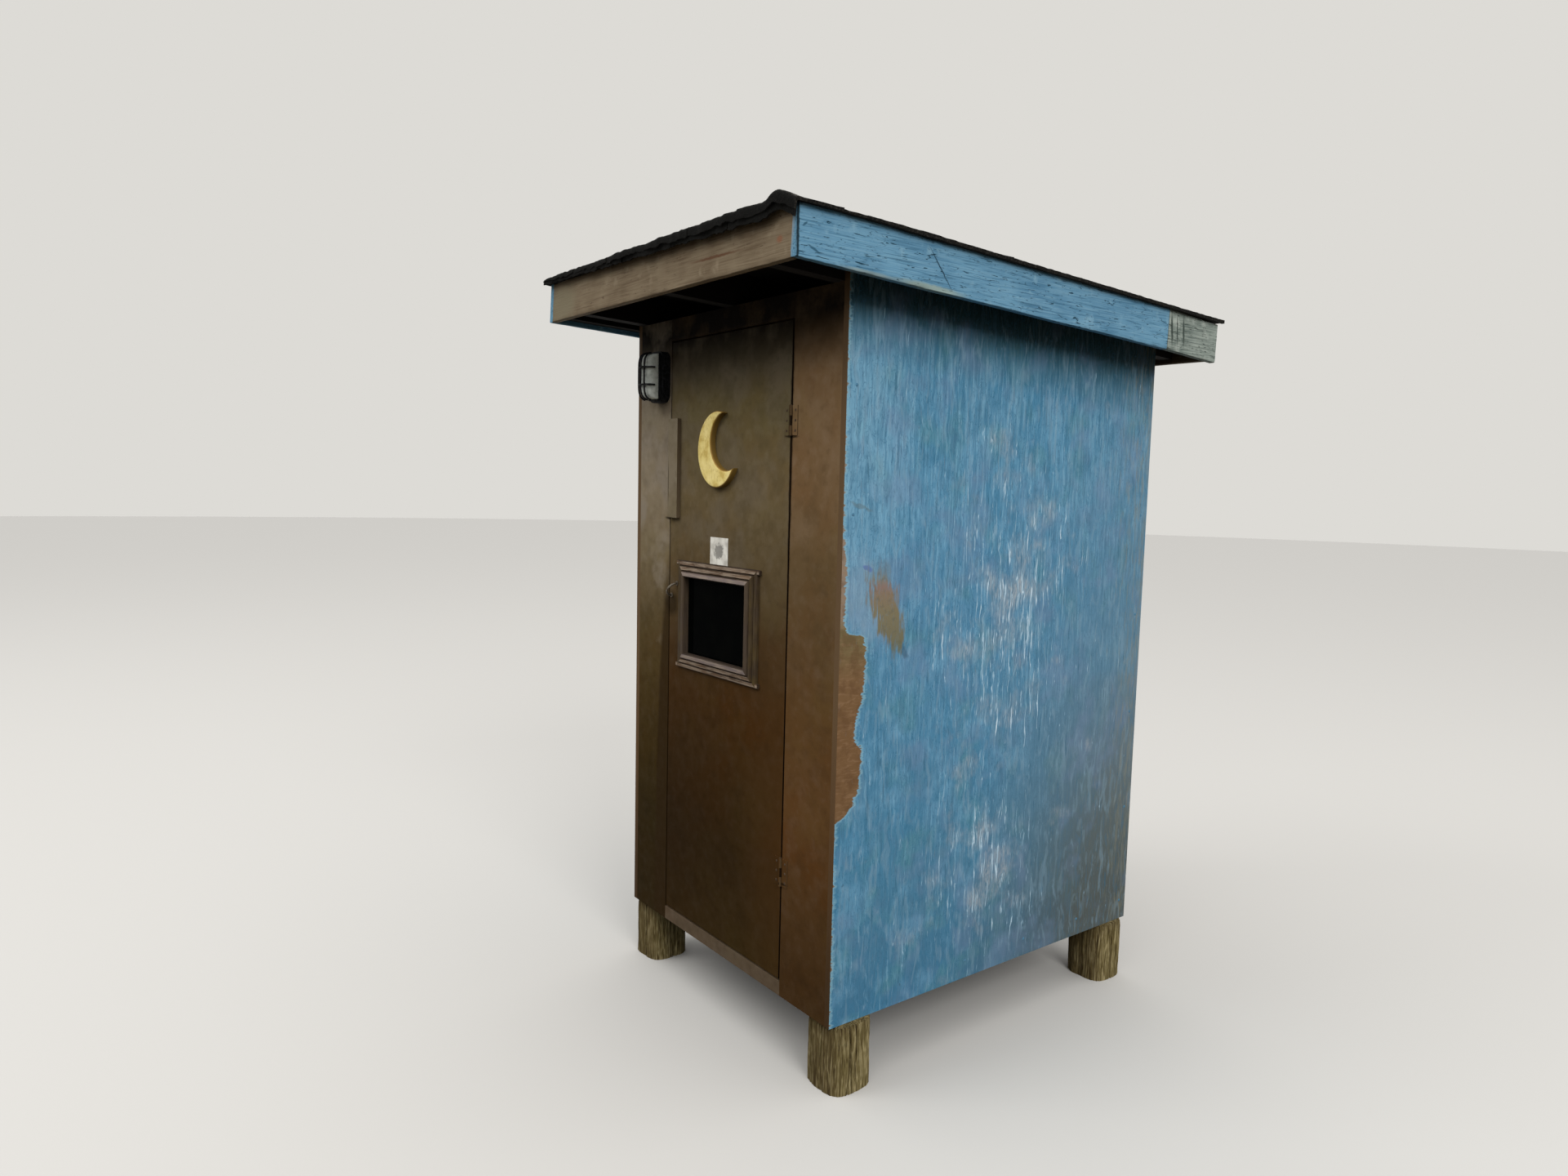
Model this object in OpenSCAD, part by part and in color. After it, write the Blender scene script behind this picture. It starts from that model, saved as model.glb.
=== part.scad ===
// Small plywood outhouse on four log piers: a sheet-clad frame, a mono-pitch roof
// and a ledged door with a little window, a cut-out moon and a caged lamp beside it.
// X runs across the front, the door faces -Y and Z = 0 is the level the piers stand on.

/* [Cabin] */
// Width of the cabin over its side sheets
cabin_w = 1000; // [900:10:1200]
// Depth of the cabin over its front and back sheets
cabin_d = 1220; // [1100:10:1400]
// Thickness of the wall sheets
sheet_t = 19; // [12:1:25]
// Width of the doorway
doorway_w = 595; // [560:5:640]
// Shift of the doorway's middle along X
doorway_shift = -5.5; // [-15:0.5:15]
// Height of the sill strip under the doorway
sill_h = 39; // [25:1:60]

/* [Frame] */
// Thickness of every framing timber
timber_t = 38; // [32:1:45]
// Depth of the joists, the rafters and the timber over the door
timber_h = 89; // [70:1:95]
// Thickness of the floor sheet
floor_t = 19; // [15:1:25]
// How far the door frame stands past the edges of the doorway
stop_lap = 15; // [11:1:20]

/* [Piers] */
// Height of the log piers
pier_h = 180; // [120:5:260]
// Mean diameter of a log pier
pier_d = 144; // [120:2:170]
// Distance from the cabin's side face to a pier's centre
pier_in_x = 50; // [40:1:80]
// Distance from the cabin's front or back face to a pier's centre
pier_in_y = 76; // [60:1:100]

/* [Roof] */
// Height of the fascia's lower edge above the ground, at mid depth
eave_z = 1966; // [1900:5:2100]
// Fall of the roof towards the back, in degrees
roof_fall = 2.5; // [1:0.1:4]
// Overhang of the roof at the front, to the fascia's face
overhang_front = 241; // [180:1:300]
// Overhang of the roof at the back, to the fascia's face
overhang_back = 142; // [100:1:200]
// Overhang of the roof at each side, to the fascia's face
overhang_side = 113; // [105:1:160]
// Height of the fascia boards
fascia_h = 114; // [110:1:140]
// Thickness of the fascia boards
fascia_t = 19; // [15:1:25]
// Thickness of the roof sheet
deck_t = 12; // [9:1:19]
// How far the shingles reach past the fascias
drip = 15; // [8:1:25]
// Length of each shingle course that shows
course_l = 136; // [110:1:180]
// Thickness of the roofing at the upper edge of a course
felt_t = 9; // [6:1:12]
// Step at the lower edge of each course
course_step = 9; // [4:1:12]
// Length of the short patch board at the back of the right fascia
patch_l = 254; // [180:2:320]
// Droop of the patch board, in degrees
patch_droop = 1.2; // [0:0.1:2]

/* [Door] */
// Thickness of the door sheet
door_t = 12; // [9:1:13]
// Height of the door sheet
door_h = 1710; // [1600:5:1740]
// Running gap all round the door
door_gap = 6; // [5.5:0.5:8]
// Width of the ledges across the back of the door
ledge_w = 89; // [70:1:110]
// Thickness of the ledges
ledge_t = 19; // [15:1:25]
// Height of the lower ledge's centre above the door's lower edge
ledge_low = 290; // [200:5:400]
// Distance of the upper ledge's centre below the door's top edge
ledge_high = 240; // [180:5:300]
// Width of the cover strip on the door's latch edge
strip_w = 52; // [40:1:70]
// Thickness of the cover strip
strip_t = 12; // [8:1:16]
// Length of the cover strip
strip_l = 290; // [200:5:400]
// Height of the cover strip's lower end above the door's lower edge
strip_up = 1199; // [1100:1:1250]

/* [Window] */
// Width of the pane that shows
pane_w = 310; // [240:2:340]
// Height of the pane that shows
pane_h = 225; // [180:2:300]
// Thickness of the pane
pane_t = 4; // [3:0.5:5]
// Height of the pane's lower edge above the door's lower edge
pane_up = 805; // [700:5:850]
// Shift of the pane's centre along X from the doorway's middle
pane_shift = -29.5; // [-40:0.5:20]
// Width of the outside moulding
trim_w = 46; // [36:1:56]
// Depth of the outside moulding
trim_d = 20; // [14:1:26]
// How far the moulding and the inner frame lap the pane's edge
trim_lap = 5; // [3:0.5:8]
// Depth of the inner frame behind the door
inner_d = 10; // [6:1:14]

/* [Moon] */
// Half width of the moon's outer curve
moon_rx = 95; // [80:1:110]
// Half height of the moon's outer curve
moon_rz = 105; // [90:1:120]
// Radius of the moon's inner curve
moon_cut_r = 80; // [70:1:85]
// Shift of the inner curve along X
moon_cut_dx = 50; // [44:1:56]
// Shift of the inner curve along Z
moon_cut_dz = 22; // [15:1:30]
// Thickness of the moon
moon_t = 18; // [10:1:22]
// Height of the moon's centre above the door's lower edge
moon_up = 1395; // [1300:5:1430]
// Shift of the moon's centre along X from the doorway's middle
moon_shift = -24.5; // [-50:0.5:30]

/* [Hardware] */
// Length of the hinges
hinge_l = 75; // [60:1:100]
// Width of one hinge leaf, from the pin's centre
hinge_leaf_w = 26; // [20:1:32]
// Thickness of a hinge leaf
hinge_leaf_t = 2; // [1.5:0.1:3]
// Radius of the hinge knuckles
knuckle_r = 4; // [3.5:0.1:5]
// Radius of the hinge pins
hinge_pin_r = 2; // [1.5:0.1:2.4]
// Height of the lower hinge's centre above the door's lower edge
hinge_low = 293; // [220:1:360]
// Height of the upper hinge's centre above the door's lower edge
hinge_high = 1463; // [1400:1:1520]
// Radius of the bent rod of the door pull
pull_rod_r = 3.2; // [2.5:0.1:4.5]
// Radius of the pull's bow
pull_bow_r = 24; // [18:1:32]
// Lean of the pull from level, in degrees
pull_lean = 52; // [30:1:80]
// Height of the pull's centre above the door's lower edge
pull_up = 986; // [900:1:1040]
// Distance of the pull's centre from the latch edge of the door
pull_in = 26; // [24:1:45]

/* [Lamp] */
// Width of the lamp's base
lamp_w = 84; // [70:1:100]
// Height of the lamp's base
lamp_h = 150; // [130:1:190]
// Depth of the lamp's base
lamp_base_d = 36; // [26:1:44]
// Depth of the glass in front of the base
lamp_glass_d = 34; // [26:1:44]
// Thickness of the glass
lamp_glass_t = 3; // [2:0.5:4]
// Thickness of the cage's bars
lamp_bar = 5; // [4:0.5:7]
// Distance from the lamp's base to the edge of the doorway
lamp_off = 6; // [5:1:20]
// Height of the lamp's centre above the ground
lamp_z = 1838; // [1780:1:1880]

/* [Hidden] */

// Plan of the roof, fascia face to fascia face, centred on the origin
roof_l = overhang_front + cabin_d + overhang_back;
roof_w = cabin_w + 2 * overhang_side;
front_y = -roof_l / 2 + overhang_front;
back_y = front_y + cabin_d;
half_w = cabin_w / 2;
inner_x = half_w - sheet_t;
frame_front_y = front_y + sheet_t;
frame_back_y = back_y - sheet_t;

// Levels
roof_z = eave_z + fascia_h;
floor_top = pier_h + timber_h + floor_t;
door_z = pier_h + sill_h + door_gap;
door_top = door_z + door_h;

// Doorway and door
opening_x0 = doorway_shift - doorway_w / 2;
opening_x1 = doorway_shift + doorway_w / 2;
door_x0 = opening_x0 + door_gap;
door_x1 = opening_x1 - door_gap;
door_w = door_x1 - door_x0;
clear_x0 = opening_x0 + stop_lap;
clear_x1 = opening_x1 - stop_lap;

// Hinge axis, in the middle of the gap and a knuckle's radius before the face
hinge_x = opening_x1 - door_gap / 2;
hinge_y = front_y - knuckle_r;
hinge_play = 0.08;
knuckle_play = 0.5;
pin_head_t = 1.5;

// Window
pane_x = doorway_shift + pane_shift;
pane_z0 = door_z + pane_up;
cut_w = pane_w + 2 * trim_lap;
cut_h = pane_h + 2 * trim_lap;
glazing_play = 0.3;
inner_lap = 15;

// Moon
moon_x = doorway_shift + moon_shift;
moon_z = door_z + moon_up;
moon_turns = 60;

// Lamp: its glass and cage stand inside the base's rim, and a shallower collar steps in once
lamp_x = opening_x0 - lamp_off - lamp_w / 2;
lamp_rim = 9;
lamp_collar_in = 4;
lamp_collar_d = 0.3 * lamp_base_d;
cage_play = 1;
dome_across = 0.7;
dome_along = 0.4;
corner_step = 15;

// Play under the rafters and beside the patch board, so that no faces cross by rounding
seat_play = 0.05;

// Lobes of a log's outline, as shares of its radius
log_lobe_3 = 0.045;
log_lobe_5 = 0.025;

paint_brown = "#6b5238";
paint_blue = "#5d8fb5";
bare_wood = "#8a7a5f";

// Height of the plane that lies lift below the top of the roof sheet, at the given y
function under_roof(y, lift) = roof_z - lift / cos(roof_fall) - y * tan(roof_fall);
function rafter_foot(y) = under_roof(y, deck_t + timber_h) - seat_play;
function ellipse_pts(rx, rz, n) = [for (i = [0:n - 1]) [rx * cos(360 * i / n), rz * sin(360 * i / n)]];

// Outline of a log: a circle with a few low lobes
function log_pts(turn, n) = [for (i = [0:n - 1])
    let (a = 360 * i / n, lobes = log_lobe_3 * cos(3 * a + turn) + log_lobe_5 * cos(5 * a + 2 * turn))
    pier_d / 2 * (1 + lobes) * [cos(a), sin(a)]];

// Box from its low corner and its size
module box(low, size) {
    translate(low) cube(size);
}

// Plate that is drawn in Y and Z and reaches from x0 to x1
module side_profile(x0, x1, pts) {
    translate([x0, 0, 0]) rotate([90, 0, 90]) linear_extrude(height = x1 - x0) polygon(pts);
}

// Sheet across the cabin whose top edge follows the rafters
module cross_sheet(x0, x1, y0, y1, z0) {
    side_profile(x0, x1, [[y0, z0], [y1, z0], [y1, rafter_foot(y1)], [y0, rafter_foot(y0)]]);
}

// Frame of the tilted roof: z = 0 is the top of the roof sheet, y = 0 is mid depth
module on_roof() {
    translate([0, 0, roof_z]) rotate([-roof_fall, 0, 0]) children();
}

module pier(side_x, side_y) {
    color("#6f6a58")
    translate([side_x * (half_w - pier_in_x), side_y > 0 ? back_y - pier_in_y : front_y + pier_in_y, 0])
        linear_extrude(height = pier_h) polygon(log_pts(70 * side_x + 110 * side_y, 28));
}

module rim_joists() {
    color(bare_wood) {
        box([-inner_x, frame_front_y, pier_h], [2 * inner_x, timber_t, timber_h]);
        box([-inner_x, frame_back_y - timber_t, pier_h], [2 * inner_x, timber_t, timber_h]);
    }
}

module floor_joists() {
    joist_l = frame_back_y - frame_front_y - 2 * timber_t;
    color(bare_wood)
    for (x = [-inner_x, -timber_t / 2, inner_x - timber_t])
        box([x, frame_front_y + timber_t, pier_h], [timber_t, joist_l, timber_h]);
}

module floor() {
    color("#9a875f")
    box([-inner_x, frame_front_y, pier_h + timber_h], [2 * inner_x, frame_back_y - frame_front_y, floor_t]);
}

// Four square posts between the floor and the timbers that carry the rafters
module corner_posts() {
    front_top = rafter_foot(frame_front_y + timber_t) - timber_h;
    back_top = rafter_foot(frame_back_y) - timber_t;
    color(bare_wood)
    for (x = [-inner_x, inner_x - timber_t]) {
        box([x, frame_front_y, floor_top], [timber_t, timber_t, front_top - floor_top]);
        box([x, frame_back_y - timber_t, floor_top], [timber_t, timber_t, back_top - floor_top]);
    }
}

// Posts beside the doorway: the door closes in front of them
module door_posts() {
    top = rafter_foot(frame_front_y + timber_t) - timber_h;
    color(bare_wood)
    for (x = [clear_x0 - timber_t, clear_x1])
        box([x, frame_front_y, floor_top], [timber_t, timber_t, top - floor_top]);
}

module door_header() {
    back = frame_front_y + timber_t;
    color(bare_wood) cross_sheet(-inner_x, inner_x, frame_front_y, back, rafter_foot(back) - timber_h);
}

module back_plate() {
    front = frame_back_y - timber_t;
    foot = rafter_foot(frame_back_y) - timber_t;
    color(bare_wood) cross_sheet(-inner_x, inner_x, front, frame_back_y, foot);
}

module side_plates() {
    y0 = frame_front_y + timber_t;
    y1 = frame_back_y - timber_t;
    pts = [[y0, rafter_foot(y0) - timber_t], [y1, rafter_foot(y1) - timber_t],
        [y1, rafter_foot(y1)], [y0, rafter_foot(y0)]];
    color(bare_wood) {
        side_profile(-inner_x, -inner_x + timber_t, pts);
        side_profile(inner_x - timber_t, inner_x, pts);
    }
}

// Side sheets run past the rafters, up to the roof sheet
module wall_side(x0) {
    color(paint_blue)
    side_profile(x0, x0 + sheet_t, [[front_y, pier_h], [back_y, pier_h],
        [back_y, under_roof(back_y, deck_t)], [front_y, under_roof(front_y, deck_t)]]);
}

module wall_left() {
    wall_side(-half_w);
}

module wall_right() {
    wall_side(inner_x);
}

module wall_back() {
    color(paint_brown) cross_sheet(-inner_x, inner_x, frame_back_y, back_y, pier_h);
}

module wall_front_left() {
    color(paint_brown) cross_sheet(-inner_x, opening_x0, front_y, frame_front_y, pier_h);
}

module wall_front_right() {
    color(paint_brown) cross_sheet(opening_x1, inner_x, front_y, frame_front_y, pier_h);
}

module wall_front_head() {
    color(paint_brown) cross_sheet(opening_x0, opening_x1, front_y, frame_front_y, door_top + door_gap);
}

module door_sill() {
    color(paint_brown) box([opening_x0, front_y, pier_h], [opening_x1 - opening_x0, sheet_t, sill_h]);
}

// A rafter in the roof's frame, from its low x side
module rafter(x) {
    box([x, -roof_l / 2 + fascia_t, -deck_t - timber_h], [timber_t, roof_l - 2 * fascia_t, timber_h]);
}

module rafters() {
    color(bare_wood)
    on_roof()
    for (x = [-inner_x, -timber_t / 2, inner_x - timber_t])
        rafter(x);
}

// Outer rafters that back the side fascias
module barge_rafters() {
    color(bare_wood)
    on_roof() {
        rafter(-roof_w / 2 + fascia_t);
        rafter(roof_w / 2 - fascia_t - timber_t);
    }
}

module roof_deck() {
    deck_w = roof_w - 2 * fascia_t;
    deck_l = roof_l - 2 * fascia_t;
    color(bare_wood) on_roof() box([-deck_w / 2, -deck_l / 2, -deck_t], [deck_w, deck_l, deck_t]);
}

// Courses of shingles, each thicker at its lower edge, laid from the back up to the front
module roof_shingles() {
    len = roof_l + 2 * drip;
    courses = ceil(len / course_l);
    top = [for (i = [0:courses - 1])
        let (low = len / 2 - i * course_l, high = max(low - course_l, -len / 2))
        each [[low, felt_t + course_step], [high, felt_t + course_step - course_step * (low - high) / course_l]]];
    color("#24262a")
    on_roof()
        side_profile(-roof_w / 2 - drip, roof_w / 2 + drip, concat([[-len / 2, 0], [len / 2, 0]], top));
}

module fascia_across(y) {
    color(paint_brown)
    on_roof() box([-roof_w / 2 + fascia_t, y, -fascia_h], [roof_w - 2 * fascia_t, fascia_t, fascia_h]);
}

module fascia_front() {
    fascia_across(-roof_l / 2);
}

module fascia_back() {
    fascia_across(roof_l / 2 - fascia_t);
}

module fascia_left() {
    color(paint_blue) on_roof() box([-roof_w / 2, -roof_l / 2, -fascia_h], [fascia_t, roof_l, fascia_h]);
}

module fascia_right() {
    color(paint_blue)
    on_roof() box([roof_w / 2 - fascia_t, -roof_l / 2, -fascia_h], [fascia_t, roof_l - patch_l, fascia_h]);
}

// Short bare board that makes up the end of the right fascia, sagging a little from its lower front corner
module fascia_patch() {
    butt = fascia_h * sin(patch_droop) + seat_play;
    color("#8d9484")
    on_roof()
    translate([roof_w / 2 - fascia_t, roof_l / 2 - patch_l + butt, 0]) rotate([-patch_droop, 0, 0])
        box([0, 0, -fascia_h], [fascia_t, patch_l - butt, fascia_h]);
}

module door_panel() {
    color(paint_brown)
    difference() {
        box([door_x0, front_y, door_z], [door_w, door_t, door_h]);
        box([pane_x - cut_w / 2, front_y - 1, pane_z0 - trim_lap], [cut_w, door_t + 2, cut_h]);
    }
}

// Boards across the back of the door, short of the door frame
module door_ledges() {
    ledge_in = stop_lap + door_gap;
    color(bare_wood)
    for (z = [door_z + ledge_low, door_top - ledge_high])
        box([door_x0 + ledge_in, front_y + door_t, z - ledge_w / 2],
            [door_w - 2 * ledge_in, ledge_t, ledge_w]);
}

module door_strip() {
    color(paint_brown) box([door_x0, front_y - strip_t, door_z + strip_up], [strip_w, strip_t, strip_l]);
}

// Bent rod with a rose at each end
module door_pull() {
    rose_r = 2.2 * pull_rod_r;
    rose_t = 2;
    color("#8f8f8c")
    translate([door_x0 + pull_in, front_y, door_z + pull_up]) rotate([0, -pull_lean, 0]) {
        rotate([180, 0, 0]) rotate_extrude(angle = 180, $fn = 64)
            translate([pull_bow_r, 0]) circle(r = pull_rod_r, $fn = 24);
        for (side = [-1, 1])
            translate([side * pull_bow_r, 0, 0]) rotate([90, 0, 0]) cylinder(r = rose_r, h = rose_t, $fn = 24);
    }
}

// Crescent between two curves, opening to the upper right
module moon() {
    color("#e0d68a")
    translate([moon_x, front_y, moon_z]) rotate([90, 0, 0]) linear_extrude(height = moon_t)
        difference() {
            polygon(ellipse_pts(moon_rx, moon_rz, moon_turns));
            translate([moon_cut_dx, moon_cut_dz]) polygon(ellipse_pts(moon_cut_r, moon_cut_r, moon_turns));
        }
}

// Section of the window moulding in shares of its width and depth, from the pane's edge outwards: a broad
// ridge beside the pane, then two lower ones
trim_section = [[0, 0], [0, 0.86], [0.06, 1], [0.30, 0.94], [0.36, 0.64], [0.42, 0.78], [0.62, 0.72],
    [0.68, 0.42], [0.74, 0.54], [0.94, 0.46], [1, 0.30], [1, 0]];

// One moulded length, mitred at both ends, with its inner edge along X from -span / 2 to span / 2
module trim_length(span) {
    reach = span + 2 * trim_w;
    intersection() {
        translate([-reach / 2, 0, 0]) rotate([90, 0, 90]) linear_extrude(height = reach)
            polygon([for (p = trim_section) [-p[1] * trim_d, p[0] * trim_w]]);
        translate([0, 1, 0]) rotate([90, 0, 0]) linear_extrude(height = trim_d + 2)
            polygon([[-span / 2, 0], [span / 2, 0], [reach / 2, trim_w], [-reach / 2, trim_w]]);
    }
}

module window_rails() {
    mid_z = pane_z0 + pane_h / 2;
    color(paint_brown)
    for (turn = [0, 180])
        translate([pane_x, front_y, mid_z]) rotate([0, turn, 0]) translate([0, 0, pane_h / 2]) trim_length(pane_w);
}

module window_stiles() {
    mid_z = pane_z0 + pane_h / 2;
    color(paint_brown)
    for (turn = [90, 270])
        translate([pane_x, front_y, mid_z]) rotate([0, turn, 0]) translate([0, 0, pane_w / 2]) trim_length(pane_h);
}

module window_pane() {
    color("#2c3a34", 0.6)
    box([pane_x - cut_w / 2 + glazing_play, front_y, pane_z0 - trim_lap],
        [cut_w - 2 * glazing_play, pane_t, cut_h - glazing_play]);
}

// Frame that holds the pane from behind: a tongue in the cut and a flange on the door's back
module window_inner_frame() {
    hole_w = pane_w - trim_lap;
    hole_h = pane_h - trim_lap;
    mid_z = pane_z0 + pane_h / 2;
    flange_w = cut_w + 2 * inner_lap;
    flange_h = cut_h + 2 * inner_lap;
    tongue_w = cut_w - 2 * glazing_play;
    tongue_h = cut_h - 2 * glazing_play;
    tongue_y = front_y + pane_t;
    back = front_y + door_t;
    color(paint_brown)
    difference() {
        union() {
            box([pane_x - tongue_w / 2, tongue_y, mid_z - tongue_h / 2], [tongue_w, back - tongue_y + 1, tongue_h]);
            box([pane_x - flange_w / 2, back, mid_z - flange_h / 2], [flange_w, inner_d, flange_h]);
        }
        box([pane_x - hole_w / 2, front_y, mid_z - hole_h / 2], [hole_w, door_t + inner_d + 2, hole_h]);
    }
}

// Leaf on one side of the pin with its knuckles; side is -1 for the door and 1 for the post
module hinge_leaf(z, side) {
    third = hinge_l / 3;
    leaf_in = knuckle_r + knuckle_play;
    spans = side < 0 ? [[third + knuckle_play, 2 * third - knuckle_play]] : [[0, third], [2 * third, hinge_l]];
    translate([hinge_x, hinge_y, z - hinge_l / 2])
    difference() {
        union() {
            box([side < 0 ? -hinge_leaf_w : leaf_in, knuckle_r - hinge_leaf_t, 0],
                [hinge_leaf_w - leaf_in, hinge_leaf_t, hinge_l]);
            for (s = spans) {
                translate([0, 0, s[0]]) cylinder(r = knuckle_r, h = s[1] - s[0], $fn = 48);
                box([side < 0 ? -leaf_in : 0, knuckle_r - hinge_leaf_t, s[0]], [leaf_in, hinge_leaf_t, s[1] - s[0]]);
            }
        }
        translate([0, 0, -1]) cylinder(r = hinge_pin_r + hinge_play, h = hinge_l + 2, $fn = 48);
    }
}

module hinge_post_leaves() {
    color(paint_brown)
    for (up = [hinge_low, hinge_high])
        hinge_leaf(door_z + up, 1);
}

module hinge_door_leaves() {
    color(paint_brown)
    for (up = [hinge_low, hinge_high])
        hinge_leaf(door_z + up, -1);
}

// Pins with a head that rests on the top knuckle
module hinge_pins() {
    color(paint_brown)
    for (up = [hinge_low, hinge_high])
        translate([hinge_x, hinge_y, door_z + up - hinge_l / 2]) {
            cylinder(r = hinge_pin_r, h = hinge_l, $fn = 48);
            translate([0, 0, hinge_l]) cylinder(r = knuckle_r - 0.5, h = pin_head_t, $fn = 48);
        }
}

// Rectangle with rounded corners, one quarter turn after the other
function round_pts(w, h, r) = [for (q = [0:3])
    for (a = [0:corner_step:90])
        let (sx = q == 0 || q == 3 ? 1 : -1, sz = q < 2 ? 1 : -1)
        [sx * (w / 2 - r) + r * cos(90 * q + a), sz * (h / 2 - r) + r * sin(90 * q + a)]];

module lamp_plate(w, h, r, y0, depth) {
    translate([lamp_x, front_y - y0, lamp_z]) rotate([90, 0, 0])
        linear_extrude(height = depth) polygon(round_pts(w, h, r));
}

// Back plate and a shallower collar that the glass sits in
module lamp_base() {
    plate_d = lamp_base_d - lamp_collar_d;
    corner_r = lamp_w / 3;
    color("#16181a") {
        lamp_plate(lamp_w, lamp_h, corner_r, 0, plate_d);
        lamp_plate(lamp_w - 2 * lamp_collar_in, lamp_h - 2 * lamp_collar_in, corner_r - lamp_collar_in,
            plate_d, lamp_collar_d);
    }
}

// Half arch over a span as points, fuller with a lower power
function arch_pts(span, d, fullness) = [for (a = [0:corner_step:180]) [span / 2 * cos(a), d * pow(sin(a), fullness)]];

// Domed form: an arch across the width and a fuller arch along the height, cut with each other
module lamp_dome(w, h, d) {
    intersection() {
        translate([0, 0, -h / 2]) linear_extrude(height = h)
            polygon([for (p = arch_pts(w, d, dome_across)) [p[0], -p[1]]]);
        translate([-w / 2, 0, 0]) rotate([90, 0, 90]) linear_extrude(height = w)
            polygon([for (p = arch_pts(h, d, dome_along)) [-p[1], p[0]]]);
    }
}

module lamp_glass() {
    w = lamp_w - 2 * lamp_rim;
    h = lamp_h - 2 * lamp_rim;
    color("#b9c4b8", 0.6)
    translate([lamp_x, front_y - lamp_base_d, lamp_z])
    difference() {
        lamp_dome(w, h, lamp_glass_d);
        translate([0, 0.01, 0]) lamp_dome(w - 2 * lamp_glass_t, h - 2 * lamp_glass_t, lamp_glass_d - lamp_glass_t);
    }
}

// Bars bent over the glass: two hoops across and three along the height
module lamp_cage() {
    w = lamp_w - 2 * lamp_rim + 2 * cage_play;
    h = lamp_h - 2 * lamp_rim + 2 * cage_play;
    d = lamp_glass_d + cage_play;
    color("#16181a")
    translate([lamp_x, front_y - lamp_base_d, lamp_z])
    intersection() {
        difference() {
            lamp_dome(w + 2 * lamp_bar, h + 2 * lamp_bar, d + lamp_bar);
            translate([0, 0.01, 0]) lamp_dome(w, h, d);
        }
        union() {
            for (z = [-h / 5, h / 5])
                translate([-w, -2 * d, z - lamp_bar / 2]) cube([2 * w, 2 * d, lamp_bar]);
            for (x = [-w / 4, 0, w / 4])
                translate([x - lamp_bar / 2, -2 * d, -h]) cube([lamp_bar, 2 * d, 2 * h]);
        }
    }
}

pier(-1, -1);  // pier_front_left
pier(1, -1);  // pier_front_right
pier(-1, 1);  // pier_back_left
pier(1, 1);  // pier_back_right
rim_joists();
floor_joists();
floor();
corner_posts();
door_posts();
door_header();
back_plate();
side_plates();
wall_left();
wall_right();
wall_back();
wall_front_left();
wall_front_right();
wall_front_head();
door_sill();
rafters();
barge_rafters();
roof_deck();
roof_shingles();
fascia_front();
fascia_back();
fascia_left();
fascia_right();
fascia_patch();
door_panel();
door_ledges();
door_strip();
door_pull();
moon();
window_rails();
window_stiles();
window_pane();
window_inner_frame();
hinge_post_leaves();
hinge_door_leaves();
hinge_pins();
lamp_base();
lamp_glass();
lamp_cage();
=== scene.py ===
"""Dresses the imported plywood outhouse: weathered paint, rough boards, shingles and log posts."""

import logging
import math
from dataclasses import dataclass
from enum import Enum
from typing import Any

import bmesh
import bpy
import numpy as np
from mathutils import Matrix, Vector


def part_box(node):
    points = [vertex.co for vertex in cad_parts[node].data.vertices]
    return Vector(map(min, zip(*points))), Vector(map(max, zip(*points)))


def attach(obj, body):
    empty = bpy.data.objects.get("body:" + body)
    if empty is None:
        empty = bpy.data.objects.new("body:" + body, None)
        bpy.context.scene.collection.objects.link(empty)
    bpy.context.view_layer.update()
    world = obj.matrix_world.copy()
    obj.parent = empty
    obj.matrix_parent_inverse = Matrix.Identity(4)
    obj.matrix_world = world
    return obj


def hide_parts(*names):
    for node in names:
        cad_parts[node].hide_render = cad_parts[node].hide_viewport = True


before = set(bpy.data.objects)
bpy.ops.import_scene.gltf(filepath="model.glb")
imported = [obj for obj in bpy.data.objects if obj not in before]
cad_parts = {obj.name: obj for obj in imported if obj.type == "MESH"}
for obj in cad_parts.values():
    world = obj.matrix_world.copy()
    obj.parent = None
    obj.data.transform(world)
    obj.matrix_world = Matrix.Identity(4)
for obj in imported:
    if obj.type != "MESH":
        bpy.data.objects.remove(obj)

log = logging.getLogger("outhouse")

Part = tuple[np.ndarray, np.ndarray]
Point = tuple[float, float, float]
MM = 0.001
ROUND = 2 * math.pi
QUARTER = math.pi / 2


class Axis(Enum):
    """Direction that grain, or a surface, points along."""

    X = 0
    Y = 1
    Z = 2


class Body(Enum):
    """Bodies of the model."""

    CABIN = "cabin"
    DOOR = "door"


# Shapes as arrays


def value_noise(u: np.ndarray, v: np.ndarray, seed: int) -> np.ndarray:
    """Smooth random field: random values on whole numbers of u and v, eased from one to the next.

    Args:
        u: First coordinate, one step for each random value.
        v: Second coordinate, of a shape that broadcasts with u.
        seed: Picks another field.

    Returns:
        Values from -1 to 1.
    """
    u, v = np.broadcast_arrays(u, v)
    cell_u, cell_v = np.floor(u), np.floor(v)
    ease_u, ease_v = ((f * f * (3 - 2 * f)) for f in (u - cell_u, v - cell_v))

    def corner(du: int, dv: int) -> np.ndarray:
        """Random value of a cell's corner, from the fraction of a large sine of unrelated steps."""
        wave = np.sin((cell_u + du) * 127.1 + (cell_v + dv) * 311.7 + seed * 74.7) * 43758.5453
        return 2 * (wave - np.floor(wave)) - 1

    low = corner(0, 0) * (1 - ease_u) + corner(1, 0) * ease_u
    high = corner(0, 1) * (1 - ease_u) + corner(1, 1) * ease_u
    return low * (1 - ease_v) + high * ease_v


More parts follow.
